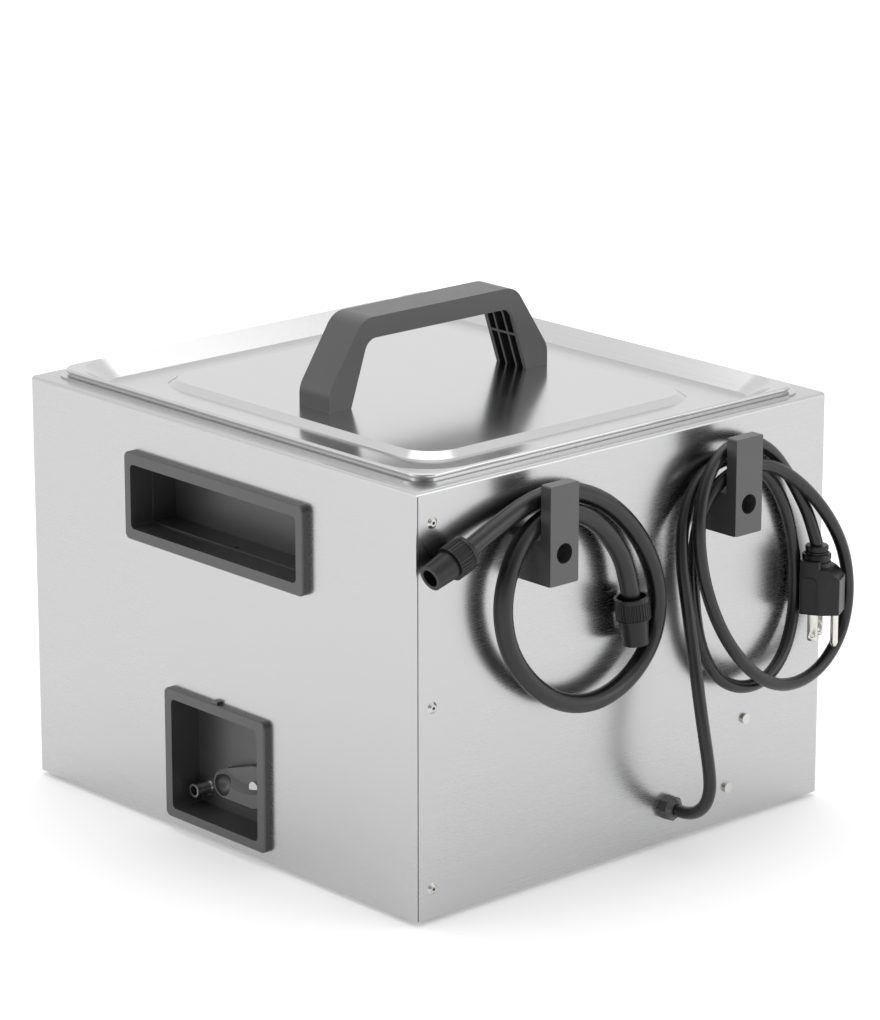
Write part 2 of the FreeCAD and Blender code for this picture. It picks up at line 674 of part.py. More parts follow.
def make_tank_drain():
    at = ("drain_x", "valve_y")
    flange = rod("drain_flange", "z", "drain_flange", at + ("tank_floor",), "2")
    stem = rod("drain_stem", "z", "drain_stem", at + (TANK_UNDER + " - drain_stem_long",),
               "drain_stem_long + tank_sheet + 1")
    bore = rod("drain_bore", "z", "drain_bore", at + (TANK_UNDER + " - drain_stem_long - 1",),
               "drain_stem_long + 6")
    node(cut("tank_drain_cut", fuse("tank_drain_blank", [flange, stem]), [bore]), "tank_drain")
    nut = prism("drain_nut_hex", "z", 6, "drain_stem * 1.7", at + (TANK_UNDER + " - 5",), "5")
    through = rod("drain_nut_hole", "z", "drain_stem", at + (TANK_UNDER + " - 6",), "7")
    return node(cut("drain_nut_cut", nut, [through]), "drain_nut")


def make_heater():
    across = between("heater_shift", "heater_x")
    deep = between("tank_shift", "heater_y")
    mat = rounded_block("heater_mat_slab", across, deep,
                        (TANK_UNDER + " - heater_thick", TANK_UNDER), "tank_bottom_bend", "z")
    node(mat, "heater_mat")
    low = TANK_UNDER + " - heater_thick - heater_plate"
    plate = rounded_block("heater_plate_slab", across, deep,
                          (low, low + " + heater_plate"), "tank_bottom_bend", "z")
    node(plate, "heater_plate")
    disc = rod("cutout_disc", "z", "cutout_radius", ("heater_shift", "0", low + " - 8"), "8")
    tabs = block("cutout_tabs", between("heater_shift", "3 * cutout_radius"), ("-3", "3"),
                 (low + " - 1", low))
    return node(fuse("cutout_fused", [disc, tabs]), "thermal_cutout")


def make_probe():
    wall = "tank_shift - tank_y / 2 - tank_sheet"
    middle = wall + " - probe_radius - 0.6"
    probe = rod("probe_rod", "z", "probe_radius", ("probe_x", middle, "84"), "36")
    node(probe, "temperature_probe")
    saddle = block("probe_saddle", between("probe_x", "16"), (wall + " - 2 * probe_radius - 2", wall),
                   ("96", "108"))
    way = rod("probe_way", "z", "probe_radius", ("probe_x", middle, "95"), "14")
    return node(cut("probe_clip_cut", saddle, [way]), "probe_clip")


def make_insulation():
    def ring(name, extra, low, high):
        return rounded_block(name, between("0", "tank_x + 2 * tank_sheet + " + extra),
                             between("tank_shift", "tank_y + 2 * tank_sheet + " + extra),
                             (low, high), "tank_corner", "z")
    outer = ring("wrap_outer", "2 * wrap_thick", "wrap_low", "wrap_high")
    inner = ring("wrap_inner", "0", "wrap_low - 1", "wrap_high + 1")
    return node(cut("wrap_cut", outer, [inner]), "tank_insulation")


# ---------------------------------------------------------------- lid
def rounded_rectangle(width, depth, radius, height):
    """A closed wire: a rectangle with rounded corners, centred on the Z axis."""
    x = width / 2
    y = depth / 2
    bend = radius * (1 - math.sqrt(0.5))
    edges = []
    for turn in range(4):
        sx, sy = ((1, 1), (-1, 1), (-1, -1), (1, -1))[turn]
        spots = [V(sx * x, sy * (y - radius), height), V(sx * (x - bend), sy * (y - bend), height),
                 V(sx * (x - radius), sy * y, height)]
        if turn % 2:
            spots.reverse()
        edges.append(Part.Arc(*spots).toShape())
    sides = []
    for here, after in zip(edges, edges[1:] + edges[:1]):
        sides.append(here)
        sides.append(Part.LineSegment(here.Vertexes[-1].Point, after.Vertexes[0].Point).toShape())
    return Part.Wire(sides)


def tapered(low, high):
    """A solid between two rounded rectangles, each (width, depth, radius, height)."""
    return Part.makeLoft([rounded_rectangle(*low), rounded_rectangle(*high)], True, True)


def make_lid():
    top = size("foot_gap") + size("casing_z") + size("rim_thick") + size("lid_rim")
    bottom = top - size("lid_rim")
    wall = size("lid_sheet")
    edge = 2 * size("dish_edge")
    floor = top - size("dish_drop")
    dish_top = (size("lid_x") - edge, size("lid_y") - edge, size("dish_corner"))
    dish_floor = (size("dish_x"), size("dish_y"), size("dish_floor_corner"))
    panel_foot = (size("panel_x"), size("panel_y"), size("panel_corner"))
    slope = 2 * size("panel_slope")
    panel_head = (size("panel_x") - slope, size("panel_y") - slope,
                  size("panel_corner") - size("panel_slope") / 2)
    panel_z = floor + size("panel_step")

    def block_of(extra, low, high):
        outer = (size("lid_x") - extra, size("lid_y") - extra, size("lid_corner") - extra / 2)
        return tapered(outer + (low,), outer + (high,))
    dish = tapered(dish_floor + (floor,), dish_top + (top,))
    dish_under = tapered(dish_floor + (floor - wall,), dish_top + (top - wall,))
    panel = tapered(panel_foot + (floor,), panel_head + (panel_z,))
    panel_under = tapered(panel_foot + (floor - wall,), panel_head + (panel_z - wall,))
    step = 2 * size("bead_inset")
    under = bottom + size("bead_gap")
    rolled = block_of(0, under, top)

    def outer_edge(edge):
        box = edge.BoundBox
        return abs(box.ZLength) < 0.01
    rolled = rolled.makeFillet(size("bead_round"), [e for e in rolled.Edges if outer_edge(e)])
    lid = rolled.fuse(block_of(step, bottom, under + wall)).fuse(dish_under).cut(dish).fuse(panel)
    hollow = block_of(2 * wall + 2 * size("bead_round"), under + wall, top - wall)
    hollow = hollow.fuse(block_of(step + 2 * wall, bottom - 1, under + wall + 0.1))
    lid = lid.cut(hollow.cut(dish_under)).cut(panel_under)
    for side in (-1, 1):
        spot = V(side * (size("handle_half") - size("handle_foot_thick") / 2), 0, floor - 5)
        lid = lid.cut(Part.makeCylinder(size("handle_screw"), 20, spot))
    made = doc.addObject("Part::Feature", "lid_sheet_metal")
    made.Shape = lid.removeSplitter()
    made.Placement = FreeCAD.Placement()
    return node(made, "lid")


def handle_profile(made, inset_out, inset_in, floor, head):
    """One leg's hollow, seen from the side, inside the handle's outer wall."""
    slope_x = "handle_half - %s" % inset_out
    outline(made, [("handle_half - handle_foot_thick - %s" % inset_in, floor),
                   (slope_x, floor), (slope_x, PANEL_TOP + " + handle_foot_rise"),
                   ("handle_top_half + 2 * %s" % inset_out, head),
                   ("handle_inner_half - %s" % inset_in, head)])


def make_lid_handle():
    body = new_body("handle_arch")
    side = sketch_on(body, "handle_side", "XZ_Plane")
    top = PANEL_TOP + " + handle_rise"
    outer = [("handle_half", PANEL_TOP), ("handle_half", PANEL_TOP + " + handle_foot_rise"),
             ("handle_top_half", top)]
    inner = [("handle_inner_half", top + " - handle_bar"),
             ("handle_half - handle_foot_thick", PANEL_TOP)]
    half = outer
    corners = half + [("-(%s)" % x, z) for x, z in reversed(outer)]
    corners += [("-(%s)" % x, z) for x, z in reversed(inner)] + inner
    outline(side, corners)
    arch = feature(body, "Pad", side, "handle_deep", midplane=True)

    def corner_at(x, z):
        def chosen(edge):
            spot = edge.CenterOfMass
            near = abs(abs(spot.x) - x) < 0.01 and abs(spot.z - z) < 0.01
            return runs_along("y")(edge) and near
        return chosen
    panel_top = (size("foot_gap") + size("casing_z") + size("rim_thick") + size("lid_rim")
                 - size("dish_drop") + size("panel_step"))
    head = panel_top + size("handle_rise")
    arch = soften(body, arch, "handle_shoulders", "handle_outer_round",
                  corner_at(size("handle_top_half"), head))
    arch = soften(body, arch, "handle_armpits", "handle_inner_round",
                  corner_at(size("handle_inner_half"), head - size("handle_bar")))
    soften(body, arch, "handle_knees", "handle_outer_round",
           corner_at(size("handle_half"), panel_top + size("handle_foot_rise")))
    hollows = []
    ribs = []
    for label, mirrored in (("right", False), ("left", True)):
        hollow = new_body("hollow_" + label)
        leg = sketch_on(hollow, "hollow_side_" + label, "XZ_Plane")
        handle_profile(leg, "handle_wall", "handle_wall", PANEL_TOP,
                       top + " - handle_bar - handle_wall / 2")
        feature(hollow, "Pad", leg, "handle_deep - 2 * handle_wall", midplane=True)
        hollows.append(mirror_x("hollow_mirror", hollow) if mirrored else hollow)
    for i, place in enumerate(("-handle_deep / 6", "handle_deep / 6")):
        ribs.append(block("handle_rib_%d" % i, ("-handle_half", "handle_half"),
                          between(place, "handle_rib"), (PANEL_TOP, top)))
    ribs.append(block("handle_cross_rib", ("-handle_half", "handle_half"),
                      between("0", "handle_deep"),
                      between(PANEL_TOP + " + handle_rise * 0.42", "handle_rib")))
    for sign, label in (("", "right"), ("-", "left")):
        ribs.append(rod("handle_boss_" + label, "z", "handle_boss",
                        (sign + "(handle_half - handle_foot_thick / 2)", "0", PANEL_TOP), "14"))
    shell = cut("handle_shell", body, hollows)
    inner_ribs = common("handle_inner_ribs", fuse("handle_all_ribs", ribs), body)
    ribbed = fuse("handle_ribbed", [shell, inner_ribs])
    bores = [rod("handle_bore_" + label, "z", "handle_screw",
                 (sign + "(handle_half - handle_foot_thick / 2)", "0", PANEL_TOP + " - 1"), "12")
             for sign, label in (("", "right"), ("-", "left"))]
    return node(cut("handle_cut", ribbed, bores), "lid_handle")


def make_handle_screws():
    screws = []
    under = PANEL_TOP + " - lid_sheet"
    for sign, label in (("", "right"), ("-", "left")):
        x = sign + "(handle_half - handle_foot_thick / 2)"
        head = rod("handle_head_" + label, "z", "2.2 * handle_screw", (x, "0", under + " - 2"), "2")
        shank = rod("handle_shank_" + label, "z", "handle_screw", (x, "0", under + " - 1"), "12")
        screws.append(fuse("handle_screw_" + label, [head, shank]))
    return node(group("handle_screw_group", screws), "handle_screws")


# ---------------------------------------------------------------- moulded pockets
def pocket_moulding(name, middle, opening, frame, proud, depth, extra_spaces, holes):
    """A framed pocket on the casing's +X side: middle, opening and frame are (y, z) pairs."""
    along, up = middle
    face = RIGHT
    back = "casing_x / 2 - %s" % depth
    rim = rounded_block(name + "_rim", (face, "%s + %s" % (face, proud)), between(along, frame[0]),
                        between(up, frame[1]), "frame_corner", "x")
    tub = rounded_block(name + "_tub", (back + " - moulding", "%s + %s / 2" % (face, proud)),
                        between(along, opening[0] + " + 2 * moulding"),
                        between(up, opening[1] + " + 2 * moulding"), "opening_corner", "x")
    space = rounded_block(name + "_space", (back, "%s + 2 * %s" % (face, proud)),
                          between(along, opening[0]), between(up, opening[1]),
                          "opening_corner", "x")
    doc.recompute()
    front = size("casing_x") / 2 + size(proud)

    def front_edge(edge):
        return abs(edge.BoundBox.XMin - front) < 0.01
    blank = fuse(name + "_blank", [rounded(name + "_soft_rim", rim, "frame_edge", front_edge), tub])
    return cut(name + "_hollow", fuse(name + "_stepped", [cut(name + "_open", blank, [space])]
                                      + extra_spaces), holes)


def make_side_grips():
    inner_tall = "grip_open_tall"
    step = ("casing_x / 2 - grip_depth", "casing_x / 2 - grip_step_depth")
    shelf = block("grip_shelf", step, between("grip_y", "grip_open_long"),
                  ("grip_z - grip_open_tall / 2", "grip_z - grip_open_tall / 2 + grip_step"))
    cheeks = []
    for sign in ("-", "+"):
        outer = "grip_y %s grip_open_long / 2" % sign
        inner = "grip_y %s (grip_open_long / 2 - grip_step)" % sign
        span = (outer, inner) if sign == "-" else (inner, outer)
        cheeks.append(block("grip_cheek_" + ("low" if sign == "-" else "high"), step, span,
                            between("grip_z", inner_tall)))
    slot = rod("grip_drip_hole", "z", "1.5", ("casing_x / 2 - grip_depth / 2", "grip_y",
                                              "grip_z - grip_tall / 2"), "grip_tall / 2")
    right = pocket_moulding("grip", ("grip_y", "grip_z"), ("grip_open_long", "grip_open_tall"),
                            ("grip_long", "grip_tall"), "grip_proud", "grip_depth",
                            [shelf] + cheeks, [slot])
    node(right, "side_grip_right")
    return node(mirror_x("grip_mirror", right), "side_grip_left")


def make_drain_recess():
    spindle = rod("recess_spindle_hole", "x", "spindle + 0.5",
                  (RECESS_BACK + " - 2 * moulding", "valve_y", "valve_z"), "4 * moulding")
    outlet = rod("recess_outlet_hole", "x", "outlet_shank",
                 (RECESS_BACK + " - 2 * moulding", "outlet_y", "outlet_z"), "4 * moulding")
    top = "recess_z + recess_tall / 2"
    nub = block("recess_catch", (RIGHT, RIGHT + " + recess_proud - 1"), between("recess_y", "5"),
                (top + " - 1", top + " + 1.8"))
    return node(pocket_moulding("recess", ("recess_y", "recess_z"),
                                ("recess_open_long", "recess_open_tall"),
                                ("recess_long", "recess_tall"), "recess_proud", "recess_depth",
                                [nub], [spindle, outlet]), "drain_recess")


# ---------------------------------------------------------------- drain valve
def make_valve():
    inner = RECESS_BACK + " - moulding - valve_long"
    face = RECESS_BACK + " - moulding"
    block_ = rounded_block("valve_block", (inner, face), between("valve_y", "valve_wide"),
                           ("valve_z - valve_low", "valve_z + valve_high"), "opening_corner", "x")
    seat = rod("valve_seat", "x", "spindle + spindle_clear",
               (inner + " + 8", "valve_y", "valve_z"), "valve_long")
    inlet = rod("valve_inlet", "x", "drain_bore", (inner + " - 1", "valve_y", "valve_z"), "9.5")
    drop = rod("valve_drop", "z", "outlet_bore", (inner + " + 4.5", "valve_y", "outlet_z"),
               "valve_z - outlet_z")
    way_out = rod("valve_way_out", "y", "outlet_bore",
                  (inner + " + 4.5", "valve_y - valve_wide / 2 - 1", "outlet_z"),
                  "valve_wide / 2 + 1")
    node(cut("valve_cut", block_, [seat, inlet, drop, way_out]), "valve_body")

    shaft = rod("spindle_shaft", "x", "spindle", (inner + " + 9.5", "valve_y", "valve_z"),
                "valve_long - 9.5 + moulding + lever_gap + lever_thick - 2.5")
    node(shaft, "valve_spindle")

    at = ("drain_x", "valve_y")
    low = "valve_z - drain_stem - 3"
    body = rod("elbow_body", "z", "drain_stem + 3", at + (low,), "tank_floor - 8 - (%s)" % low)
    arm = rod("elbow_arm", "x", "drain_stem", ("drain_x", "valve_y", "valve_z"),
              inner + " - drain_x")
    socket = rod("elbow_socket", "z", "drain_stem", at + (TANK_UNDER + " - drain_stem_long",), "20")
    bore = rod("elbow_bore", "z", "drain_bore", at + ("valve_z",), "30")
    side_bore = rod("elbow_side_bore", "x", "drain_bore", ("drain_x", "valve_y", "valve_z"),
                    inner + " - drain_x + 1")
    return node(cut("elbow_cut", fuse("elbow_blank", [body, arm]), [socket, bore, side_bore]),
                "drain_elbow")


def tangent_hull(big, small, x, thick):
    """A plate round two circles (y, z, radius) in the YZ plane, from x along +X."""
    (y1, z1, r1), (y2, z2, r2) = big, small
    reach = math.hypot(y2 - y1, z2 - z1)
    heading = math.atan2(z2 - z1, y2 - y1)
    lean = math.acos((r1 - r2) / reach)

    def spot(middle, angle):
        y, z, r = middle
        return V(x, y + r * math.cos(angle), z + r * math.sin(angle))
    up, down = heading + lean, heading - lean
    edges = [Part.Arc(spot(big, up), spot(big, heading + math.pi), spot(big, down)),
             Part.LineSegment(spot(big, down), spot(small, down)),
             Part.Arc(spot(small, down), spot(small, heading), spot(small, up)),
             Part.LineSegment(spot(small, up), spot(big, up))]
    return Part.Face(Part.Wire([e.toShape() for e in edges])).extrude(V(thick, 0, 0))


def make_lever():
    back = size("casing_x") / 2 - size("recess_depth") + size("lever_gap")
    y, z = size("valve_y"), size("valve_z")
    tip_y, tip_z = y - size("lever_reach"), z - size("lever_droop")
    front = back + size("lever_thick")
    lever = tangent_hull((y, z, size("lever_hub")), (tip_y, tip_z, size("lever_tip")),
                         back, size("lever_thick"))
    rim = [e for e in lever.Edges if abs(e.BoundBox.XMin - front) < 0.01]
    lever = lever.makeFillet(1.5, rim)
    crescent = 4.5
    scoop = Part.makeCone(size("scoop") - crescent, size("scoop"), crescent + 0.1,
                          V(front - crescent, y - 10, z + size("scoop") - crescent), V(1, 0, 0))
    thumb = Part.makeSphere(7.0, V(front - crescent + 5.2, tip_y, tip_z))
    shaft = Part.makeCylinder(size("spindle"), front - 2.5 - back + 1,
                              V(back - 1, y, z), V(1, 0, 0))
    grub = Part.makeCylinder(1.5, size("lever_hub"), V(back + 3.5, y, z - size("lever_hub") - 1))
    made = doc.addObject("Part::Feature", "lever_moulding")
    made.Shape = lever.cut(scoop).cut(thumb).cut(shaft).cut(grub)
    made.Placement = FreeCAD.Placement()
    node(made, "drain_lever")
    return node(rod("lever_grub", "z", "1.5", (RECESS_BACK + " + lever_gap + 3.5", "valve_y",
                                              "valve_z - lever_hub + 1"),
                    "lever_hub - 1 - spindle"), "lever_screw")


def make_outlet_pipe():
    across = size("casing_x") / 2 - size("recess_depth") - size("moulding") - size("valve_long") + 4.5
    start = (across, size("valve_y") - size("valve_wide") / 2, size("outlet_z"))
    corner = (across, size("outlet_y"), size("outlet_z"))
    end = (size("casing_x") / 2 - size("recess_depth"),) + corner[1:]
    shank = tube("outlet_tube", [start, corner, end], 2 * size("outlet_shank"),
                 2 * size("outlet_bore"))
    at = (RECESS_BACK + " - 2", "outlet_y", "outlet_z")
    spigot = rod("outlet_spigot", "x", "outlet_radius", at, "outlet_long + 2")
    bore = rod("outlet_spigot_bore", "x", "outlet_bore", at, "outlet_long + 3")
    return node(cut("outlet_cut", fuse("outlet_fused", [shank, spigot]), [bore]), "outlet_pipe")


# ---------------------------------------------------------------- control front
def make_fascia():
    body = new_body("fascia_body")
    plan = sketch_on(body, "fascia_plan", "XZ_Plane", "-(%s)" % CONSOLE)
    rectangle(plan, between("0", "fascia_x"), between("fascia_z", "fascia_tall"))
    slab = feature(body, "Pad", plan, "fascia_thick")
    soften(body, slab, "fascia_corners", "frame_corner", runs_along("y"))
    holes = sketch_on(body, "fascia_holes", "XZ_Plane", "-(%s) + 2 * fascia_thick" % CONSOLE)
    rectangle(holes, between("window_at", "window_x"), between("fascia_z", "window_tall"))
    for i in range(len(KEYS)):
        hole(holes, "key_radius + key_clear", "key_first + %d * key_pitch" % i, "fascia_z")
    rectangle(holes, between("switch_at", "switch_x"), between("fascia_z", "switch_tall"))
    for across, up in CONSOLE_SCREWS:
        hole(holes, "console_screw", across, up)
    feature(body, "Pocket", holes, "3 * fascia_thick")
    return node(body, "control_panel")


def make_console():
    outer = rounded_block("console_outer", between("0", "fascia_x"), (CONSOLE, FRONT),
                          between("fascia_z", "fascia_tall"), "frame_corner", "y")
    space = block("console_space", between("0", "fascia_x - 2 * console_wall"),
                  (CONSOLE + " - 1", FRONT + " + 1"),
                  between("fascia_z", "fascia_tall - 2 * console_wall"))
    rim = cut("console_rim", outer, [space])
    bosses = [rod("console_boss_%d" % i, "y", "console_boss", (x, CONSOLE, z), "console_deep")
              for i, (x, z) in enumerate(CONSOLE_SCREWS)]
    bores = [rod("console_bore_%d" % i, "y", "console_screw", (x, CONSOLE + " - 1", z), "10")
             for i, (x, z) in enumerate(CONSOLE_SCREWS)]
    node(cut("console_cut", fuse("console_blank", [rim] + bosses), bores), "console_shell")
    screws = []
    for i, (x, z) in enumerate(CONSOLE_SCREWS):
        out = CONSOLE + " - fascia_thick"
        head = rod("console_head_%d" % i, "y", "2 * console_screw", (x, out + " - 1.2", z), "1.2")
        shank = rod("console_shank_%d" % i, "y", "console_screw", (x, out + " - 0.6", z), "9")
        screws.append(fuse("console_screw_%d" % i, [head, shank]))
    return node(group("console_screw_group", screws), "console_screws")


def make_display():
    out = CONSOLE + " - fascia_thick"
    pane = block("display_pane", between("window_at", "window_x"),
                 (out + " + 0.6", CONSOLE), between("fascia_z", "window_tall"))
    node(pane, "display_window")
    module = block("display_block", between("window_at", "window_x - 12"),
                   (CONSOLE + " + 3", BOARD_FACE), between("fascia_z", "window_tall - 6"))
    return node(module, "display_module")


def make_keys():
    switches = []
    for i, label in enumerate(KEYS):
        at = ("key_first + %d * key_pitch" % i,)
        cap = rod(label + "_cap", "y", "key_radius",
                  at + (CONSOLE + " - fascia_thick - key_proud", "fascia_z"),
                  "fascia_thick + key_proud + 1")
        collar = rod(label + "_collar", "y", "key_radius + 1.5", at + (CONSOLE, "fascia_z"), "1.5")
        stem = rod(label + "_stem", "y", "2", at + (CONSOLE, "fascia_z"), "sheet + board_gap - 6.1")
        node(fuse(label + "_fused", [cap, collar, stem]), label)
        case = block(label + "_switch_case", between(at[0], "6"), (BOARD_FACE + " - 4", BOARD_FACE),
                     between("fascia_z", "6"))
        button = rod(label + "_switch_button", "y", "1.75", at + (BOARD_FACE + " - 5", "fascia_z"),
                     "2")
        switches.append(fuse(label + "_switch", [case, button]))
    return node(group("key_switch_group", switches), "key_switches")


def make_power_switch():
    out = CONSOLE + " - fascia_thick"
    bezel = rounded_block("switch_bezel", between("switch_at", "switch_x + 4"), (out + " - 2", out),
                          between("fascia_z", "switch_tall + 4"), "opening_corner", "y")
    case = block("switch_case", between("switch_at", "switch_x"), (out + " - 1", CONSOLE + " + 22"),
                 between("fascia_z", "switch_tall"))
    well = block("switch_well", between("switch_at", "rocker_x + 0.6"),
                 (out + " - 3", CONSOLE + " + 8"), between("fascia_z", "rocker_tall + 2"))
    bearing = rod("switch_bearing", "x", "1 + spindle_clear",
                  ("switch_at - rocker_x / 2 - 1.8", CONSOLE + " - 1.5", "fascia_z"),
                  "rocker_x + 3.6")
    node(cut("switch_cut", fuse("switch_blank", [bezel, case]), [well, bearing]), "power_switch")
    slab = rounded_block("rocker_slab", between("switch_at", "rocker_x"),
                         (CONSOLE + " - 7", CONSOLE + " + 2.5"), between("fascia_z", "rocker_tall"),
                         "opening_corner", "x")
    pins = rod("rocker_pins", "x", "1", ("switch_at - rocker_x / 2 - 1.5", CONSOLE + " - 1.5",
                                        "fascia_z"), "rocker_x + 3")
    rocker = fuse("rocker_fused", [slab, pins])
    doc.recompute()
    axis = V(0, -size("casing_y") / 2 - size("console_deep") - 1.5, size("fascia_z"))
    rocker.Placement = FreeCAD.Placement(V(), FreeCAD.Rotation(V(1, 0, 0), size("rocker_tilt")), axis)
    return node(rocker, "power_rocker")


def make_board():
    far = BOARD_FACE + " + 1.6"
    node(block("board_slab", between("board_at", "board_x"), (BOARD_FACE, far),
               between("fascia_z", "board_tall")), "control_board")
    posts = []
    for sign_x in ("-", "+"):
        for sign_z in ("-", "+"):
            across = "board_at %s (board_x / 2 - 6)" % sign_x
            up = "fascia_z %s (board_tall / 2 - 5)" % sign_z
            posts.append(rod("board_post_%d" % len(posts), "y", "3", (across, far, up),
                             "console_deep - sheet - board_gap - 1.6"))
    node(group("board_post_group", posts), "board_posts")
    core = block("transformer_core", between("board_at - 28", "34"), (far, far + " + 20"),
                 between("fascia_z", "18"))
    return node(core, "transformer")


# ---------------------------------------------------------------- rear wiring parts
def make_terminal_block():
    base = block("terminal_base", between("gland_x", "50"), (BACK + " - 50", BACK + " - 32"),
                 (BASE_TOP, BASE_TOP + " + 14"))
    cups = [rod("terminal_cup_%d" % i, "z", "3", ("gland_x + %d" % (16 * (i - 1)), BACK + " - 41",
                                                  BASE_TOP + " + 8"), "8") for i in range(3)]
    return node(cut("terminal_cut", base, cups), "terminal_block")


def make_relay():
    inside = BACK_INSIDE
    plate = block("relay_plate", ("-118", "-68"), (inside + " - 2", inside), ("14", "76"))
    holes = [rod("relay_hole_%d" % i, "y", "base_screw", (x, inside + " - 3", z), "4")
             for i, (x, z) in enumerate(REAR_SCREWS)]
    node(cut("relay_plate_cut", plate, holes), "relay_bracket")
    node(block("relay_case", ("-116", "-72"), (inside + " - 26", inside + " - 2"),
               ("29", "60")), "heater_relay")
    screws = []
    for i, (x, z) in enumerate(REAR_SCREWS):
        head = rod("rear_head_%d" % i, "y", "2 * base_screw", (x, BACK, z), "1.8")
        shank = rod("rear_shank_%d" % i, "y", "base_screw", (x, BACK + " - 5", z), "6")
        screws.append(fuse("rear_screw_%d" % i, [head, shank]))
    return node(group("rear_screw_group", screws), "rear_screws")


def make_rivets():
    rivets = []
    for i, z in enumerate(RIVET_HEIGHTS):
        shank = rod("rivet_shank_%d" % i, "y", "rivet_shank",
                    (RIVET_X, BACK_INSIDE + " - sheet - 1.5", z), "2 * sheet + 2")
        tail = rod("rivet_tail_%d" % i, "y", "rivet_shank + 0.8",
                   (RIVET_X, BACK_INSIDE + " - sheet - 1.5", z), "1.5")
        head = cone("rivet_head_%d" % i, "y", "rivet_head", "rivet_head * 0.55",
                    (RIVET_X, BACK, z), "1.3")
        pit = rod("rivet_pit_%d" % i, "y", "1.1", (RIVET_X, BACK + " + 0.5", z), "2")
        rivets.append(cut("rivet_%d" % i, fuse("rivet_blank_%d" % i, [shank, tail, head]), [pit]))
    return node(group("rivet_group", rivets), "seam_rivets")


def make_hooks():
    screws = []
    nuts = []
    for label, across in HOOKS.items():
        plate = rounded_block(label + "_plate", between(across, "hook_wide"),
                              (BACK + " + hook_out - hook_plate", BACK + " + hook_out"),
                              ("hook_low", "hook_high"), "frame_edge", "y")
        post = block(label + "_post", between(across, "hook_wide"), (BACK, BACK + " + hook_out - 1"),
                     ("hook_low", "hook_rest"))
        well = rod(label + "_well", "y", "hook_hole", (across, BACK + " + 8", "hook_hole_z"), "30")
        bore = rod(label + "_bore", "y", "hook_screw", (across, BACK + " - 1", "hook_hole_z"), "12")
        node(cut(label + "_cut", fuse(label + "_blank", [plate, post]), [well, bore]), label)
        head = rod(label + "_head", "y", "2.2 * hook_screw", (across, BACK + " + 8", "hook_hole_z"),
                   "3")
        shank = rod(label + "_shank", "y", "hook_screw", (across, BACK_INSIDE + " - 6",
                                                        "hook_hole_z"), "sheet + 15")
        screws.append(fuse(label + "_screw", [head, shank]))
        hexagon = prism(label + "_hex", "y", 6, "2.2 * hook_screw",
                        (across, BACK_INSIDE + " - 4", "hook_hole_z"), "4")
        through = rod(label + "_through", "y", "hook_screw",
                      (across, BACK_INSIDE + " - 5", "hook_hole_z"), "6")
        nuts.append(cut(label + "_nut", hexagon, [through]))
    node(group("hook_screw_group", screws), "hook_screws")
    return node(group("hook_nut_group", nuts), "hook_nuts")


def make_gland():
    at = ("gland_x", BACK, "gland_z")
    nut = prism("gland_facets", "y", 8, "gland_radius", at, "gland_long * 0.6")
    taper = cone("gland_taper", "y", "gland_radius * 0.88", "gland_radius * 0.62",
                 ("gland_x", BACK + " + gland_long * 0.6", "gland_z"), "gland_long * 0.4")
    stem = rod("gland_stem", "y", "gland_stem", ("gland_x", BACK + " - 9", "gland_z"), "10")
    node(fuse("gland_fused", [nut, taper, stem]), "cord_gland")
    hexagon = prism("gland_nut_hex", "y", 6, "gland_stem * 1.45",
                    ("gland_x", BACK_INSIDE + " - 5", "gland_z"), "5")
    through = rod("gland_nut_hole", "y", "gland_stem", ("gland_x", BACK_INSIDE + " - 6", "gland_z"),
                  "7")
    return node(cut("gland_nut_cut", hexagon, [through]), "gland_nut")


# ---------------------------------------------------------------- cord, plug and hose
CORD_ROUTE = [
    (-35, 186, 24.5), (-34.9, 191, 24.5), (-34.6, 196.6, 25.5), (-34.1, 202.7, 27.9),
    (-33.3, 208.8, 32.4), (-32.3, 213.7, 39), (-31.2, 216.5, 47), (-30.3, 216.9, 55.5),
    (-29.4, 215.9, 66), (-28.7, 213.9, 78), (-28.3, 211, 93), (-28.4, 207.2, 111),
    (-29.2, 202.2, 132),
    (-29.4, 197, 156), (-29, 192.3, 180), (-33.5, 187.3, 203), (-46, 183.8, 223.5),
    (-67, 182, 234.5), (-91, 182, 232), (-111.5, 182.3, 218), (-125.5, 182.5, 197.5),
    (-134, 182.5, 173.5), (-137, 182.5, 149), (-134.5, 184, 125), (-124, 187, 104),
    (-105.5, 189.8, 91.5), (-82.5, 190, 91), (-62.5, 189, 102.5), (-50, 187.8, 123.5),
    (-45, 187, 149.5), (-43.5, 187, 176.5), (-46.5, 187.6, 202.5), (-59, 188.8, 222.5),
    (-81.5, 190.2, 230.7), (-105.5, 191.3, 227), (-128.5, 193.5, 211.5), (-148.5, 196, 190),
    (-163, 197.5, 165.5), (-168.5, 197.6, 138.5), (-165, 196.8, 113), (-149.5, 197.4, 95),
    (-126.5, 199.5, 88), (-101.5, 201.5, 91.5), (-78.5, 202, 106), (-59, 201, 128.5),
    (-45.5, 199.5, 155), (-38.5, 197.8, 182.5), (-39, 195.6, 208.5), (-48.5, 192.6, 231),
    (-67.5, 189, 244), (-90, 186.5, 244.5), (-110.5, 184.8, 234), (-126, 184.2, 216.5),
    (-136, 186, 200), (-141.5, 189.5, 185.5), (-144, 193, 170),
]
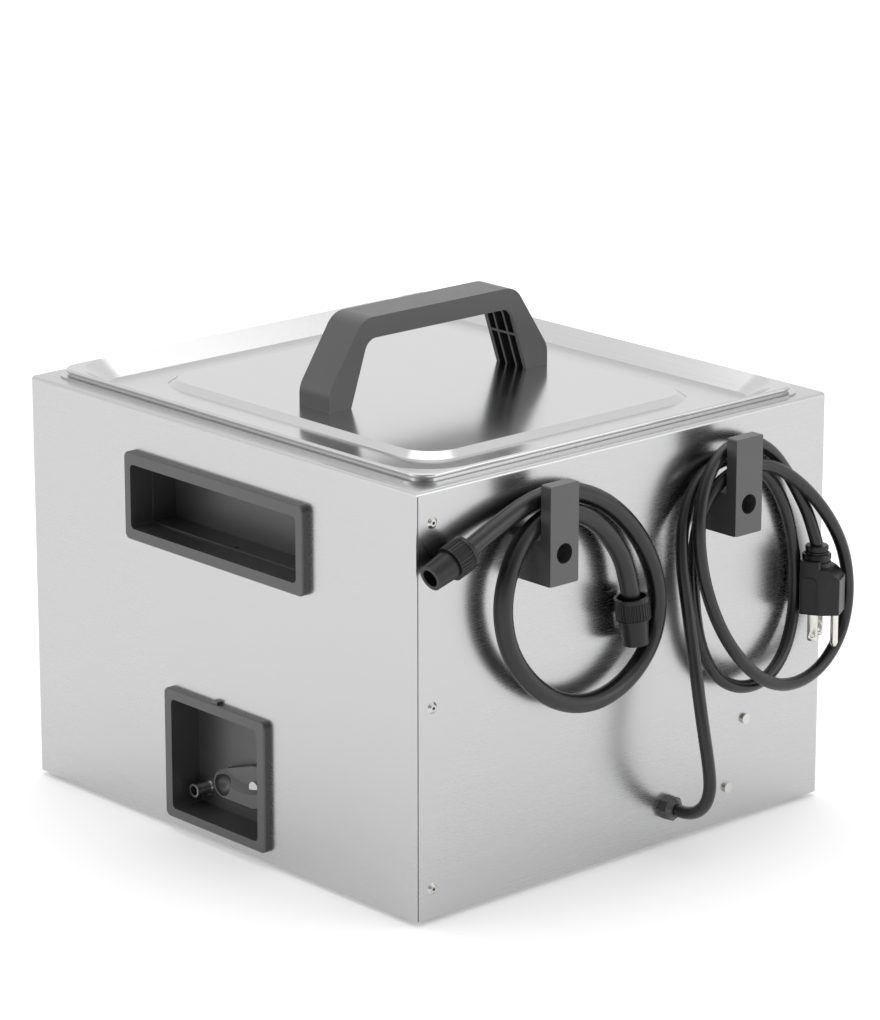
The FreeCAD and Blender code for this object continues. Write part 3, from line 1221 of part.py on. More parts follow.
HOSE_ROUTE = [
    (143.3, 189.5, 220.2), (112, 188, 233), (84, 185.5, 241), (56, 184.3, 241),
    (30.5, 185.3, 231), (9.5, 187.3, 213), (-6, 189, 189.5), (-13.5, 189.7, 162.5),
    (-7.5, 189.7, 136), (12, 189.6, 117), (38.5, 189.5, 109.5), (66, 189.5, 115.5),
    (89.5, 189.5, 132), (106.5, 189.5, 154.5), (112.5, 189.5, 180), (108, 189.3, 202),
    (97, 188.9, 219.5), (79.5, 188.5, 229.7), (58, 188.5, 230), (38, 188.5, 220),
    (21.5, 188.8, 202), (13.4, 189.7, 185), (10.4, 191.1, 165),
]
HOSE_FAR_END = (166.8, 189.5, 211.7)
HOSE_NEAR_END = (8, 192.5, 140.1)


def make_cord():
    node(tube("cord_tube", CORD_ROUTE, size("cord_thick")), "mains_cord")
    end = V(*CORD_ROUTE[-1])
    place = FreeCAD.Placement(end, FreeCAD.Rotation(V(0, 0, 1), size("plug_turn")))
    body = new_body("plug_moulding")
    plan = sketch_on(body, "plug_plan", "XY_Plane",
                     "-plug_relief_long - plug_shoulder - plug_tall")
    far = "plug_deep - plug_behind"
    outline(plan, [("-plug_across / 2", "-plug_behind"), ("plug_across / 2", "-plug_behind"),
                   ("plug_across / 2", "5"), ("plug_across * 0.3", far),
                   ("-plug_across * 0.3", far), ("-plug_across / 2", "5")])
    slab = feature(body, "Pad", plan, "plug_tall")
    soften(body, slab, "plug_sides", "2 * frame_edge", runs_along("z"))
    back = sketch_on(body, "plug_back", "XY_Plane", "-plug_relief_long - plug_shoulder - 1")
    rectangle(back, between("0", "plug_across - 2 * frame_edge"), ("frame_edge - plug_behind", "5"))
    slab = feature(body, "Pad", back, "plug_shoulder + 1")

    def shoulder_corner(edge):
        box = edge.BoundBox
        return runs_along("z")(edge) and box.ZMax > 0.01 - size("plug_relief_long") - 0.02
    soften(body, slab, "plug_shoulders", "frame_edge", shoulder_corner)
    for label, radius, long in (("collar", "plug_collar", "plug_relief_long * 0.35"),
                                ("relief", "plug_relief", "plug_relief_long")):
        ring = sketch_on(body, "plug_" + label, "XY_Plane", "-plug_relief_long - plug_shoulder")
        hole(ring, radius, "0", "0")
        feature(body, "Pad", ring, long + " + plug_shoulder")
    body.Placement = place
    node(body, "plug_body")
    floor = "-plug_relief_long - plug_shoulder - plug_tall"
    blades = []
    for sign in ("-", "+"):
        middle = "%s blade_pitch / 2" % sign
        blade = block("blade_" + ("left" if sign == "-" else "right"),
                      between(middle, "blade_thick"), between("0", "blade_wide"),
                      (floor + " - blade_long", floor))
        eye = rod(blade.Name + "_eye", "x", "1.6", ("%s - 2" % middle, "0",
                                                   floor + " - blade_long + 3.6"), "4")
        blades.append(cut(blade.Name + "_cut", blade, [eye]))
    pair = group("plug_blade_group", blades)
    pair.Placement = place
    node(pair, "plug_blades")
    pin = fuse("ground_pin_fused",
               [rod("ground_pin_rod", "z", "pin_radius",
                    ("0", "pin_offset", floor + " - pin_long + 2"), "pin_long - 2"),
                cone("ground_pin_tip", "z", "pin_radius * 0.6", "pin_radius",
                     ("0", "pin_offset", floor + " - pin_long"), "2")])
    pin.Placement = place
    return node(pin, "plug_ground_pin")


def coupling(name, end, hose_end):
    """A hose coupling whose mouth is at one point and whose collar holds the hose's end."""
    long = size("coupling_long")
    collar = size("coupling_collar_long")
    ribs = int(round(size("coupling_ribs")))
    outer = size("coupling_collar")
    shape = Part.makeCylinder(outer, collar, V(0, 0, long - collar))
    for i in range(ribs):
        angle = math.tau * i / ribs
        groove = Part.makeCylinder(0.7, collar - 3, V(outer * math.cos(angle),
                                                     outer * math.sin(angle), long - collar + 0.5))
        shape = shape.cut(groove)
    barrel = Part.makeCone(size("coupling_mouth"), size("coupling_root"), long - collar)
    shape = shape.fuse(barrel)
    shape = shape.cut(Part.makeCylinder(size("coupling_bore"), size("coupling_bore_deep"), V()))
    shape = shape.cut(Part.makeCylinder(size("coupling_seat"), size("coupling_seat_deep"), V()))
    cup = size("coupling_cup_deep")
    shape = shape.cut(Part.makeCylinder(size("coupling_cup"), cup, V(0, 0, long - cup)))
    made = doc.addObject("Part::Feature", name + "_moulding")
    made.Shape = shape
    back = (V(*hose_end) - V(*end)).normalize()
    made.Placement = FreeCAD.Placement(V(*hose_end) - back * (long - cup),
                                       FreeCAD.Rotation(V(0, 0, 1), back))
    return node(made, name)


def make_hose():
    node(tube("hose_tube", HOSE_ROUTE, size("hose_thick")), "drain_hose")
    coupling("hose_coupling_far", HOSE_FAR_END, HOSE_ROUTE[0])
    return coupling("hose_coupling_near", HOSE_NEAR_END, HOSE_ROUTE[-1])


# ---------------------------------------------------------------- build, check and export
for make in (make_casing, make_base_plate, make_feet, make_base_screws, make_tank, make_tank_drain,
             make_heater, make_probe, make_insulation, make_lid, make_lid_handle,
             make_handle_screws, make_side_grips, make_drain_recess, make_valve, make_lever,
             make_outlet_pipe, make_fascia, make_console, make_display, make_keys, make_power_switch, make_board,
             make_terminal_block, make_relay, make_rivets, make_hooks, make_gland, make_cord,
             make_hose):
    make()
doc.recompute()

for thing in doc.Objects:
    if "Invalid" in thing.State or "Error" in thing.State:
        raise RuntimeError("%s failed: %s" % (thing.Name, thing.State))
for thing in nodes:
    if thing.Shape.isNull() or not thing.Shape.isValid():
        raise RuntimeError("%s has no valid shape" % thing.Label)
    if thing.Shape.Volume < 1.0:
        raise RuntimeError("%s is empty" % thing.Label)
for thing in nodes:
    thing.Shape.exportStep("parts/%s.step" % thing.Label)
    box = thing.Shape.BoundBox
    print("%-20s %9.0f mm3, %d solids, %.1f..%.1f, %.1f..%.1f, %.1f..%.1f"
          % (thing.Label, thing.Shape.Volume, len(thing.Shape.Solids), box.XMin, box.XMax,
             box.YMin, box.YMax, box.ZMin, box.ZMax))
print("%d nodes" % len(nodes))
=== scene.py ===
# Heated water bath, seen from behind: materials, moulded details, drain hose and mains cord,
# a pale studio and a camera. Lengths are in metres, in the design's own frame.

import json
import math

import bmesh
import bpy
from mathutils import Matrix, Vector


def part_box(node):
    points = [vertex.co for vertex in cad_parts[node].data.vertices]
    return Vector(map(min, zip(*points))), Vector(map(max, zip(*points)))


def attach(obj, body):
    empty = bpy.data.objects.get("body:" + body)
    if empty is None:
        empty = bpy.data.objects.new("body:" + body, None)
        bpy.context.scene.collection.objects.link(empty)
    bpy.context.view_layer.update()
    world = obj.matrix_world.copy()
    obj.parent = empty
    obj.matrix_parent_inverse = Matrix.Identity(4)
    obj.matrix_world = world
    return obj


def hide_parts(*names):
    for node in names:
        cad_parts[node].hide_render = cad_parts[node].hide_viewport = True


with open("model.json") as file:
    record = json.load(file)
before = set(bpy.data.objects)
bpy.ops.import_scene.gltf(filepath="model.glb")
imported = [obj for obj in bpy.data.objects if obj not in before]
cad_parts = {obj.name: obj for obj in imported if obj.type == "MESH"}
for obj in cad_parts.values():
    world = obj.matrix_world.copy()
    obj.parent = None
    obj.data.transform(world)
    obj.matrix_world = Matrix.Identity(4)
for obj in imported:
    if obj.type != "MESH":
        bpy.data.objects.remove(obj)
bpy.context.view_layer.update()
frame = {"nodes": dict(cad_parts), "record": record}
NODES = frame["nodes"]
MM = 0.001


# ---------------------------------------------------------------- camera
VIEW_AZIMUTH = math.radians(137.888)
VIEW_ELEVATION = math.radians(16.213)
VIEW_DISTANCE = 2.7038
VIEW_TARGET = Vector((-0.01188, 0.0, 0.1757))
VIEW_LENS = 179.92


def towards_camera():
    """The direction from the object to the camera."""
    flat = math.cos(VIEW_ELEVATION)
    return Vector((math.sin(VIEW_AZIMUTH) * flat, -math.cos(VIEW_AZIMUTH) * flat,
                   math.sin(VIEW_ELEVATION)))


def place_camera():
    """A long lens from behind and to the right of the object, a little above it."""
    data = bpy.data.cameras.new("studio_camera")
    data.lens = VIEW_LENS
    data.sensor_width = 36.0
    data.sensor_fit = "HORIZONTAL"
    data.clip_start = 0.05
    data.clip_end = 60.0
    camera = bpy.data.objects.new("studio_camera", data)
    camera.location = VIEW_TARGET + towards_camera() * VIEW_DISTANCE
    camera.rotation_euler = (-towards_camera()).to_track_quat("-Z", "Y").to_euler()
    bpy.context.scene.collection.objects.link(camera)
    bpy.context.scene.camera = camera


# ---------------------------------------------------------------- material tools
def linear(hex_colour):
    """An sRGB hex colour as linear RGBA."""
    parts = [int(hex_colour[i:i + 2], 16) / 255 for i in (1, 3, 5)]
    return [c / 12.92 if c <= 0.04045 else ((c + 0.055) / 1.055) ** 2.4 for c in parts] + [1.0]


def add(tree, kind, settings=None, links=None):
    """Add a node, set its attributes or input values, and link its inputs."""
    node = tree.nodes.new(kind)
    for name, value in (settings or {}).items():
        if name in node.inputs:
            node.inputs[name].default_value = value
        else:
            setattr(node, name, value)
    for name, source in (links or {}).items():
        tree.links.new(source, node.inputs[name])
    return node


def new_material(name, colour, metallic, roughness, **sockets):
    """A material with a Principled shader; returns the material, its tree and the shader."""
    material = bpy.data.materials.new(name)
    material.use_nodes = True
    tree = material.node_tree
    shader = tree.nodes["Principled BSDF"]
    shader.inputs["Base Color"].default_value = linear(colour)
    shader.inputs["Metallic"].default_value = metallic
    shader.inputs["Roughness"].default_value = roughness
    for socket, value in sockets.items():
        shader.inputs[socket.replace("_", " ")].default_value = value
    return material, tree, shader


def stretched_noise(tree, scale, detail=2.0, rough=0.5):
    """Noise in the design's own frame; scale is features per metre along X, Y and Z."""
    where = add(tree, "ShaderNodeTexCoord")
    mapping = add(tree, "ShaderNodeMapping", {"Scale": scale}, {"Vector": where.outputs["Object"]})
    return add(tree, "ShaderNodeTexNoise", {"Scale": 1.0, "Detail": detail, "Roughness": rough},
               {"Vector": mapping.outputs["Vector"]})


def spread(tree, source, low, high):
    """Spread a 0 to 1 texture between two numbers."""
    return add(tree, "ShaderNodeMapRange",
               {"From Min": 0.3, "From Max": 0.7, "To Min": low, "To Max": high},
               {"Value": source})


def tint(tree, factor, dark, light):
    """Blend between two sRGB colours."""
    ramp = add(tree, "ShaderNodeValToRGB", None, {"Fac": factor})
    ramp.color_ramp.elements[0].position = 0.3
    ramp.color_ramp.elements[0].color = linear(dark)
    ramp.color_ramp.elements[1].position = 0.7
    ramp.color_ramp.elements[1].color = linear(light)
    return ramp


def bump(tree, shader, height, distance, strength):
    """Bump the shader's surface by a height texture; distance is in metres."""
    made = add(tree, "ShaderNodeBump", {"Strength": strength, "Distance": distance},
               {"Height": height})
    tree.links.new(made.outputs["Normal"], shader.inputs["Normal"])


# ---------------------------------------------------------------- materials
def brushed_stainless(name, colour, dark, rough, grain):
    """304 stainless sheet, belt brushed: an even, soft grey with faint straight hairlines that
    blur each reflection. Real hairlines are about 0.1 mm apart; these are 0.4 mm apart on the
    casing and 1.4 mm on the lid and tank, so that they show. grain is lines per metre along
    X, Y and Z."""
    material, tree, shader = new_material(name, colour, 1.0, rough)
    hair = stretched_noise(tree, grain, 3.0, 0.6)
    cloud = stretched_noise(tree, (9.0, 9.0, 9.0), 3.0)
    colour_blend = tint(tree, hair.outputs["Fac"], dark, colour)
    tree.links.new(colour_blend.outputs["Color"], shader.inputs["Base Color"])
    wide = spread(tree, hair.outputs["Fac"], rough - 0.012, rough + 0.012)
    drift = spread(tree, cloud.outputs["Fac"], -0.015, 0.015)
    total = add(tree, "ShaderNodeMath", {"operation": "ADD"})
    tree.links.new(wide.outputs["Result"], total.inputs[0])
    tree.links.new(drift.outputs["Result"], total.inputs[1])
    tree.links.new(total.outputs["Value"], shader.inputs["Roughness"])
    bump(tree, shader, hair.outputs["Fac"], 0.001 * MM, 0.04)
    return material


def moulded_plastic(name, colour, light, rough, grit, shine=0.9):
    """Plastic moulded in a spark-textured tool: a fine grain that breaks up the highlight.
    grit is the grain's size in millimetres, and shine the strength of the highlight."""
    material, tree, shader = new_material(name, colour, 0.0, rough, Specular_IOR_Level=shine)
    per_metre = 1.0 / (grit * MM)
    grain = stretched_noise(tree, (per_metre,) * 3, 2.0)
    cloud = stretched_noise(tree, (25.0, 25.0, 25.0), 2.0)
    blend = tint(tree, cloud.outputs["Fac"], colour, light)
    tree.links.new(blend.outputs["Color"], shader.inputs["Base Color"])
    wide = spread(tree, grain.outputs["Fac"], rough - 0.05, rough + 0.07)
    tree.links.new(wide.outputs["Result"], shader.inputs["Roughness"])
    bump(tree, shader, grain.outputs["Fac"], 0.02 * MM, 0.5)
    return material


def extruded_rubber(name, colour, light, rough):
    """Soft PVC or rubber: near black or deep coloured and satin, with a fine even grain about
    1 mm across and a soft broad highlight."""
    material, tree, shader = new_material(name, colour, 0.0, rough)
    grain = stretched_noise(tree, (900.0, 900.0, 900.0), 2.0)
    cloud = stretched_noise(tree, (40.0, 40.0, 40.0), 2.0)
    blend = tint(tree, cloud.outputs["Fac"], colour, light)
    tree.links.new(blend.outputs["Color"], shader.inputs["Base Color"])
    wide = spread(tree, cloud.outputs["Fac"], rough - 0.05, rough + 0.05)
    tree.links.new(wide.outputs["Result"], shader.inputs["Roughness"])
    bump(tree, shader, grain.outputs["Fac"], 0.03 * MM, 0.4)
    return material


def plated_metal(name, colour, dark, rough):
    """Zinc or nickel plate: bright and even, with faint tumbling marks 0.7 mm across."""
    material, tree, shader = new_material(name, colour, 1.0, rough)
    marks = stretched_noise(tree, (1400.0, 1400.0, 1400.0), 2.0)
    blend = tint(tree, marks.outputs["Fac"], dark, colour)
    tree.links.new(blend.outputs["Color"], shader.inputs["Base Color"])
    bump(tree, shader, marks.outputs["Fac"], 0.02 * MM, 0.4)
    return material


MATERIALS = {
    "stainless": brushed_stainless("brushed_304_casing", "#BFBFC0", "#BCBCBD", 0.27,
                                   (18.0, 18.0, 2400.0)),
    "lid_steel": brushed_stainless("satin_304_lid", "#C8C8C9", "#C4C4C5", 0.18,
                                   (700.0, 10.0, 700.0)),
    "tank_steel": brushed_stainless("satin_304_tank", "#C4C4C4", "#BEBEBE", 0.24,
                                    (700.0, 700.0, 10.0)),
    "zinc_steel": plated_metal("zinc_plated_steel", "#D2D2CF", "#BEBEBA", 0.24),
    "plated_brass": plated_metal("nickel_plated_brass", "#E2E0DB", "#D0CEC8", 0.16),
    "black_moulding": moulded_plastic("textured_black_abs", "#333333", "#383838", 0.36, 0.6),
    "hook_plastic": moulded_plastic("satin_black_nylon", "#353535", "#3A3A3A", 0.34, 0.8),
    "cord_rubber": extruded_rubber("black_pvc_jacket", "#101010", "#151515", 0.29),
    "plug_plastic": moulded_plastic("moulded_pvc_plug", "#0E0E0E", "#131313", 0.34, 0.7, 0.4),
    "panel_film": moulded_plastic("polycarbonate_panel_film", "#26282A", "#2B2D2F", 0.38, 0.5),
    "key_plastic": moulded_plastic("grey_abs_keys", "#8E9092", "#989A9C", 0.42, 0.5),
    "window_glass": moulded_plastic("smoked_acrylic_window", "#0B0C0D", "#101112", 0.10, 2.0),
    "foot_rubber": extruded_rubber("moulded_rubber_foot", "#1A1A1A", "#202020", 0.62),
    "board_green": moulded_plastic("solder_mask_board", "#1F4A30", "#265637", 0.35, 0.9),
    "component_black": moulded_plastic("epoxy_component_case", "#1B1B1B", "#222222", 0.45, 0.7),
    "heater_silicone": extruded_rubber("silicone_heater_mat", "#7E3A22", "#8A4228", 0.55),
    "foam": moulded_plastic("closed_cell_foam", "#C9C7C0", "#D4D2CB", 0.85, 1.5),
    "white_plastic": moulded_plastic("white_nylon", "#CFCFCB", "#D8D8D4", 0.42, 0.8),
}


def dress_nodes():
    """Give each CAD node its material slot's finish."""
    for entry in frame["record"]["subparts"]:
        node = NODES[entry["node"]]
        for slot in node.material_slots:
            slot.material = MATERIALS[entry["material_slot"]]


# ---------------------------------------------------------------- cords
CORD_THICK = 0.0078
HOSE_THICK = 0.0114
# Both routes are control points, from the exit to the far end, the same as the design's.
CORD_ROUTE = [
    (-0.035, 0.186, 0.0245), (-0.0349, 0.191, 0.0245), (-0.0346, 0.1966, 0.0255),
    (-0.0341, 0.2027, 0.0279), (-0.0333, 0.2088, 0.0324), (-0.0323, 0.2137, 0.039),
    (-0.0312, 0.2165, 0.047), (-0.0303, 0.2169, 0.0555), (-0.0294, 0.2159, 0.066),
    (-0.0287, 0.2139, 0.078), (-0.0283, 0.211, 0.093), (-0.0284, 0.2072, 0.111),
    (-0.0292, 0.2022, 0.132), (-0.0294, 0.197, 0.156), (-0.029, 0.1923, 0.18),
    (-0.0335, 0.1873, 0.203), (-0.046, 0.1838, 0.2235), (-0.067, 0.182, 0.2345),
    (-0.091, 0.182, 0.232), (-0.1115, 0.1823, 0.218), (-0.1255, 0.1825, 0.1975),
    (-0.134, 0.1825, 0.1735), (-0.137, 0.1825, 0.149), (-0.1345, 0.184, 0.125),
    (-0.124, 0.187, 0.104), (-0.1055, 0.1898, 0.0915), (-0.0825, 0.19, 0.091),
    (-0.0625, 0.189, 0.1025), (-0.05, 0.1878, 0.1235), (-0.045, 0.187, 0.1495),
    (-0.0435, 0.187, 0.1765), (-0.0465, 0.1876, 0.2025), (-0.059, 0.1888, 0.2225),
    (-0.0815, 0.1902, 0.2307), (-0.1055, 0.1913, 0.227), (-0.1285, 0.1935, 0.2115),
    (-0.1485, 0.196, 0.19), (-0.163, 0.1975, 0.1655), (-0.1685, 0.1976, 0.1385),
    (-0.165, 0.1968, 0.113), (-0.1495, 0.1974, 0.095), (-0.1265, 0.1995, 0.088),
    (-0.1015, 0.2015, 0.0915), (-0.0785, 0.202, 0.106), (-0.059, 0.201, 0.1285),
    (-0.0455, 0.1995, 0.155), (-0.0385, 0.1978, 0.1825), (-0.039, 0.1956, 0.2085),
    (-0.0485, 0.1926, 0.231), (-0.0675, 0.189, 0.244), (-0.09, 0.1865, 0.2445),
    (-0.1105, 0.1848, 0.234), (-0.126, 0.1842, 0.2165), (-0.136, 0.186, 0.2),
    (-0.1415, 0.1895, 0.1855), (-0.144, 0.193, 0.17),
]
HOSE_ROUTE = [
    (0.1433, 0.1895, 0.2202), (0.112, 0.188, 0.233), (0.084, 0.1855, 0.241),
    (0.056, 0.1843, 0.241), (0.0305, 0.1853, 0.231), (0.0095, 0.1873, 0.213),
    (-0.006, 0.189, 0.1895), (-0.0135, 0.1897, 0.1625), (-0.0075, 0.1897, 0.136),
    (0.012, 0.1896, 0.117), (0.0385, 0.1895, 0.1095), (0.066, 0.1895, 0.1155),
    (0.0895, 0.1895, 0.132), (0.1065, 0.1895, 0.1545), (0.1125, 0.1895, 0.18),
    (0.108, 0.1893, 0.202), (0.097, 0.1889, 0.2195), (0.0795, 0.1885, 0.2297),
    (0.058, 0.1885, 0.23), (0.038, 0.1885, 0.22), (0.0215, 0.1888, 0.202),
    (0.0134, 0.1897, 0.185), (0.0104, 0.1911, 0.165),
]


def link(obj):
    """Put an object into the scene."""
    bpy.context.scene.collection.objects.link(obj)
    return obj


def cord_along(name, route, thick, material):
    """A round cord on one smooth curve whose control points are the route."""
    data = bpy.data.curves.new(name, "CURVE")
    data.dimensions = "3D"
    data.bevel_depth = thick / 2
    data.bevel_resolution = 7
    data.resolution_u = 8
    data.use_fill_caps = True
    spline = data.splines.new("NURBS")
    spline.points.add(len(route) - 1)
    for point, spot in zip(spline.points, route):
        point.co = tuple(spot) + (1.0,)
    spline.order_u = 3
    spline.use_endpoint_u = True
    spline.use_smooth = True
    data.materials.append(material)
    return link(bpy.data.objects.new(name, data))


def add_cords(plug):
    """The mains cord, which ends in the pieces of plug, and the drain hose. plug is not used."""
    rubber = MATERIALS["cord_rubber"]
    cord = cord_along("mains_lead", CORD_ROUTE, CORD_THICK, rubber)
    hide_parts("mains_cord")
    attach(cord, "housing")
    hose = cord_along("drain_hose_line", HOSE_ROUTE, HOSE_THICK, rubber)
    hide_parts("drain_hose")
    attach(hose, "housing")


# ---------------------------------------------------------------- plug
PLUG_TURN = math.radians(28.9)          # the same turn as the design gives it
PLUG_FACE = -0.0415                     # the face that the blades stand on, below the cord's end
PLUG_TOP = -0.013                       # top of the earth side
BLADE_TOP = -0.008                      # top of the blade side
BLADE_SPREAD = 0.00635                  # each blade from the plug's middle
CROWN_CUTS = 6                          # cuts in each top edge of a crowned block
SHARP_EDGE = 0.6                        # radians; block edges sharper than this are eased
SMOOTH_ANGLE = math.radians(35)         # faces that turn by less than this shade as one


def plug_place():
    """The plug's own frame: its origin is the cord's end, and Z points up along the cord."""
    return Matrix.Translation(Vector(CORD_ROUTE[-1])) @ Matrix.Rotation(PLUG_TURN, 4, "Z")


def merge(bm, part):
    """Add the finished bmesh part to bm and free it."""
    mesh = bpy.data.meshes.new("part")
    part.to_mesh(mesh)
    part.free()
    bm.from_mesh(mesh)
    bpy.data.meshes.remove(mesh)


def circle(across, up, steps):
    """Points (x, y) round an ellipse whose half sizes are across and up."""
    return [(across * math.cos(math.tau * i / steps), up * math.sin(math.tau * i / steps))
            for i in range(steps)]


def add_block(bm, outline, low, high, ease, crown=None):
    """Extrude an outline (x, y) from low to high, lower its top by crown, and ease its edges."""
    part = bmesh.new()
    foot = [part.verts.new((x, y, low)) for x, y in outline]
    face = part.faces.new(foot)
    top = bmesh.ops.extrude_face_region(part, geom=[face])
    raised = [v for v in top["geom"] if isinstance(v, bmesh.types.BMVert)]
    bmesh.ops.translate(part, verts=raised, vec=(0, 0, high - low))
    bmesh.ops.recalc_face_normals(part, faces=part.faces)
    if crown:
        middle = (low + high) / 2
        top_edges = [e for e in part.edges if all(v.co.z > middle for v in e.verts)]
        bmesh.ops.subdivide_edges(part, edges=top_edges, cuts=CROWN_CUTS, use_grid_fill=True)
        for v in part.verts:
            if v.co.z > middle:
                v.co.z -= crown(v.co)
    bmesh.ops.bevel(part, geom=[e for e in part.edges if e.calc_face_angle(0) > SHARP_EDGE],
                    offset=ease, segments=3, affect="EDGES", profile=0.6)
    merge(bm, part)


def bridge(bm, rings):
    """Join each ring of vertices to the next with four-sided faces."""
    for first, second in zip(rings, rings[1:]):
        for i in range(len(first)):
            after = (i + 1) % len(first)
            bm.faces.new((first[i], first[after], second[after], second[i]))


def add_turned(bm, profile, steps=48):
    """Turn a (radius, height) profile round the plug's own Z axis and close both ends."""
    rings = [[bm.verts.new((x, y, height)) for x, y in circle(radius, radius, steps)]
             for radius, height in profile]
    bridge(bm, rings)
    bm.faces.new(rings[0][::-1])
    bm.faces.new(rings[-1])


def rounded_outline(wide, tall, radius, middle=(0.0, 0.0), steps=6):
    """A rounded rectangle's outline, anticlockwise."""
    spots = []
    for quarter, (sx, sy) in enumerate(((1, 1), (-1, 1), (-1, -1), (1, -1))):
        for i in range(steps + 1):
            angle = math.pi / 2 * (quarter + i / steps)
            spots.append((middle[0] + sx * (wide / 2 - radius) + radius * math.cos(angle),
                          middle[1] + sy * (tall / 2 - radius) + radius * math.sin(angle)))
    return spots


def new_piece(name, bm, material, place=None):
    """Turn bm into a smooth-shaded object, moved by place if it is given."""
    if place:
        bmesh.ops.transform(bm, matrix=place, verts=bm.verts)
    bmesh.ops.recalc_face_normals(bm, faces=bm.faces)
    mesh = bpy.data.meshes.new(name)
    bm.to_mesh(mesh)
    bm.free()
    mesh.shade_smooth()
    mesh.set_sharp_from_angle(angle=SMOOTH_ANGLE)
    mesh.materials.append(material)
    return link(bpy.data.objects.new(name, mesh))


def add_face_panel(bm, outline, out, depth, sink=0.0):
    """A panel raised by depth: outline is (along, up), out is its frame, and sink, which is
    below zero, dishes its middle back."""
    part = bmesh.new()
    verts = [part.verts.new((0.0, a, u)) for a, u in outline]
    face = part.faces.new(verts)
    part.normal_update()
    bmesh.ops.inset_region(part, faces=[face], thickness=depth * 1.2, depth=depth)
    if sink:
        part.normal_update()
        inner = [f for f in part.faces if len(f.verts) == len(outline)]
        bmesh.ops.inset_region(part, faces=inner[:1], thickness=abs(sink), depth=sink)
    bmesh.ops.transform(part, matrix=out, verts=part.verts)
    merge(bm, part)


def make_plug_body():
    """Moulded plug: a square blade side with a thumb panel, an earth side that narrows, with
    an oval dimple, and a ribbed strain relief round the cord."""
    bm = bmesh.new()
    add_block(bm, [(-0.0115, -0.0075), (0.0115, -0.0075), (0.0118, 0.0046), (-0.0118, 0.0046)],
              PLUG_FACE, BLADE_TOP, 0.0009)
    slope = [(-0.0118, 0.0040), (0.0118, 0.0040), (0.0116, 0.0058), (0.0072, 0.0163),
             (-0.0072, 0.0163), (-0.0116, 0.0058)]

    def dome(spot):
        """The earth side's top falls 6.5 mm towards its far edge."""
        across = max(0.0, spot.y - 0.004) / 0.0123
        return 0.0065 * across ** 2.4

    add_block(bm, slope, PLUG_FACE, PLUG_TOP, 0.0006, dome)
    panel = Matrix.Translation((0.0116, -0.0012, 0.0))
    add_face_panel(bm, rounded_outline(0.0088, 0.0222, 0.0032, (0.0, -0.0292)), panel, 0.0007)
    lean = math.atan2(0.0044, 0.0105)
    dimple = Matrix.Translation((0.0094, 0.0110, -0.0295)) @ Matrix.Rotation(lean, 4, "Z")
    add_face_panel(bm, circle(0.0042, 0.0102, 40), dimple, 0.0006, -0.0005)
    relief = [(0.0086, -0.0135), (0.0088, -0.0122), (0.0088, -0.0102), (0.0079, -0.0096),
              (0.0079, -0.0089), (0.0088, -0.0083), (0.0088, -0.0058), (0.0084, -0.0052),
              (0.0071, -0.0050), (0.0071, -0.0040), (0.0064, -0.0036), (0.0064, -0.0030),
              (0.0071, -0.0026), (0.0071, -0.0008), (0.0066, -0.0001), (0.0044, 0.0)]
    add_turned(bm, relief)
    return new_piece("plug_moulding", bm, MATERIALS["plug_plastic"], plug_place())


def make_blades():
    """Two nickel-plated blades with round eyes and eased tips."""
    data = bpy.data.curves.new("blade_outline", "CURVE")
    data.dimensions = "2D"
    data.fill_mode = "BOTH"
    data.extrude = 0.00063
    data.bevel_depth = 0.00012
    tip = rounded_outline(0.0062, 0.0186, 0.0014, (0.0, -0.0083))
    eye = [(x, y - 0.0140) for x, y in circle(0.0016, 0.0016, 24)]
    for loop in (tip, eye):
        spline = data.splines.new("POLY")
        spline.points.add(len(loop) - 1)
        for point, (x, y) in zip(spline.points, loop):
            point.co = (x, y, 0.0, 1.0)
        spline.use_cyclic_u = True
    sample = bpy.data.objects.new("blade_outline", data)
    flat = bpy.data.meshes.new_from_object(sample)
    upright = Matrix(((0, 0, 1, 0), (1, 0, 0, 0), (0, 1, 0, 0), (0, 0, 0, 1)))
    bm = bmesh.new()
    for across in (-BLADE_SPREAD, BLADE_SPREAD):
        half = bmesh.new()
        half.from_mesh(flat)
        bmesh.ops.transform(half, verts=half.verts,
                            matrix=Matrix.Translation((across, 0.0, PLUG_FACE)) @ upright)
        merge(bm, half)
    bmesh.ops.remove_doubles(bm, verts=bm.verts, dist=1e-6)
    bpy.data.objects.remove(sample)
    return new_piece("blade_pair", bm, MATERIALS["plated_brass"], plug_place())


# Rings of the near-black discs that are painted as shade in the rivets' holes.
RIVET_STEPS = 20
RIVET_RINGS = ((0.00085, 0.00002), (0.0006, 0.00012), (0.0003, 0.00006))    # radius, proud by


def make_painted_rivet_shade():
    """A near-black disc just proud of each blind rivet's head: painted shade for the hole that the
    pulled stem leaves in its middle.
    """
    low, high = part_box("seam_rivets")
    radius = (high[0] - low[0]) / 2
    middle = (low[0] + high[0]) / 2
    bm = bmesh.new()
    for share in (0.0, 0.5, 1.0):
        height = low[2] + radius + share * (high[2] - low[2] - 2 * radius)
        rings = [[bm.verts.new((middle + x, high[1] + out, height + z))
                  for x, z in circle(reach, reach, RIVET_STEPS)]
                 for reach, out in RIVET_RINGS]
        bridge(bm, rings)
        bm.faces.new(rings[-1])
    # Black plug plastic on the rivets is painted shade for the dark of each hole.
    return new_piece("rivet_hole_shadow_discs", bm, MATERIALS["plug_plastic"])


def fit_pieces():
    """The plug's detailed pieces and the near-black discs of painted shade in the rivets' holes,
    each riding on the housing; returns the pieces that hang on the mains cord's end."""
    plug = make_plug_body()
    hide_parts("plug_body")
    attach(plug, "housing")
    blades = make_blades()
    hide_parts("plug_blades")
    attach(blades, "housing")
    # The rivets' near-black discs are painted shade in their holes.
    hole_shade_discs = make_painted_rivet_shade()
    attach(hole_shade_discs, "housing")
    return [plug, blades, NODES["plug_ground_pin"]]


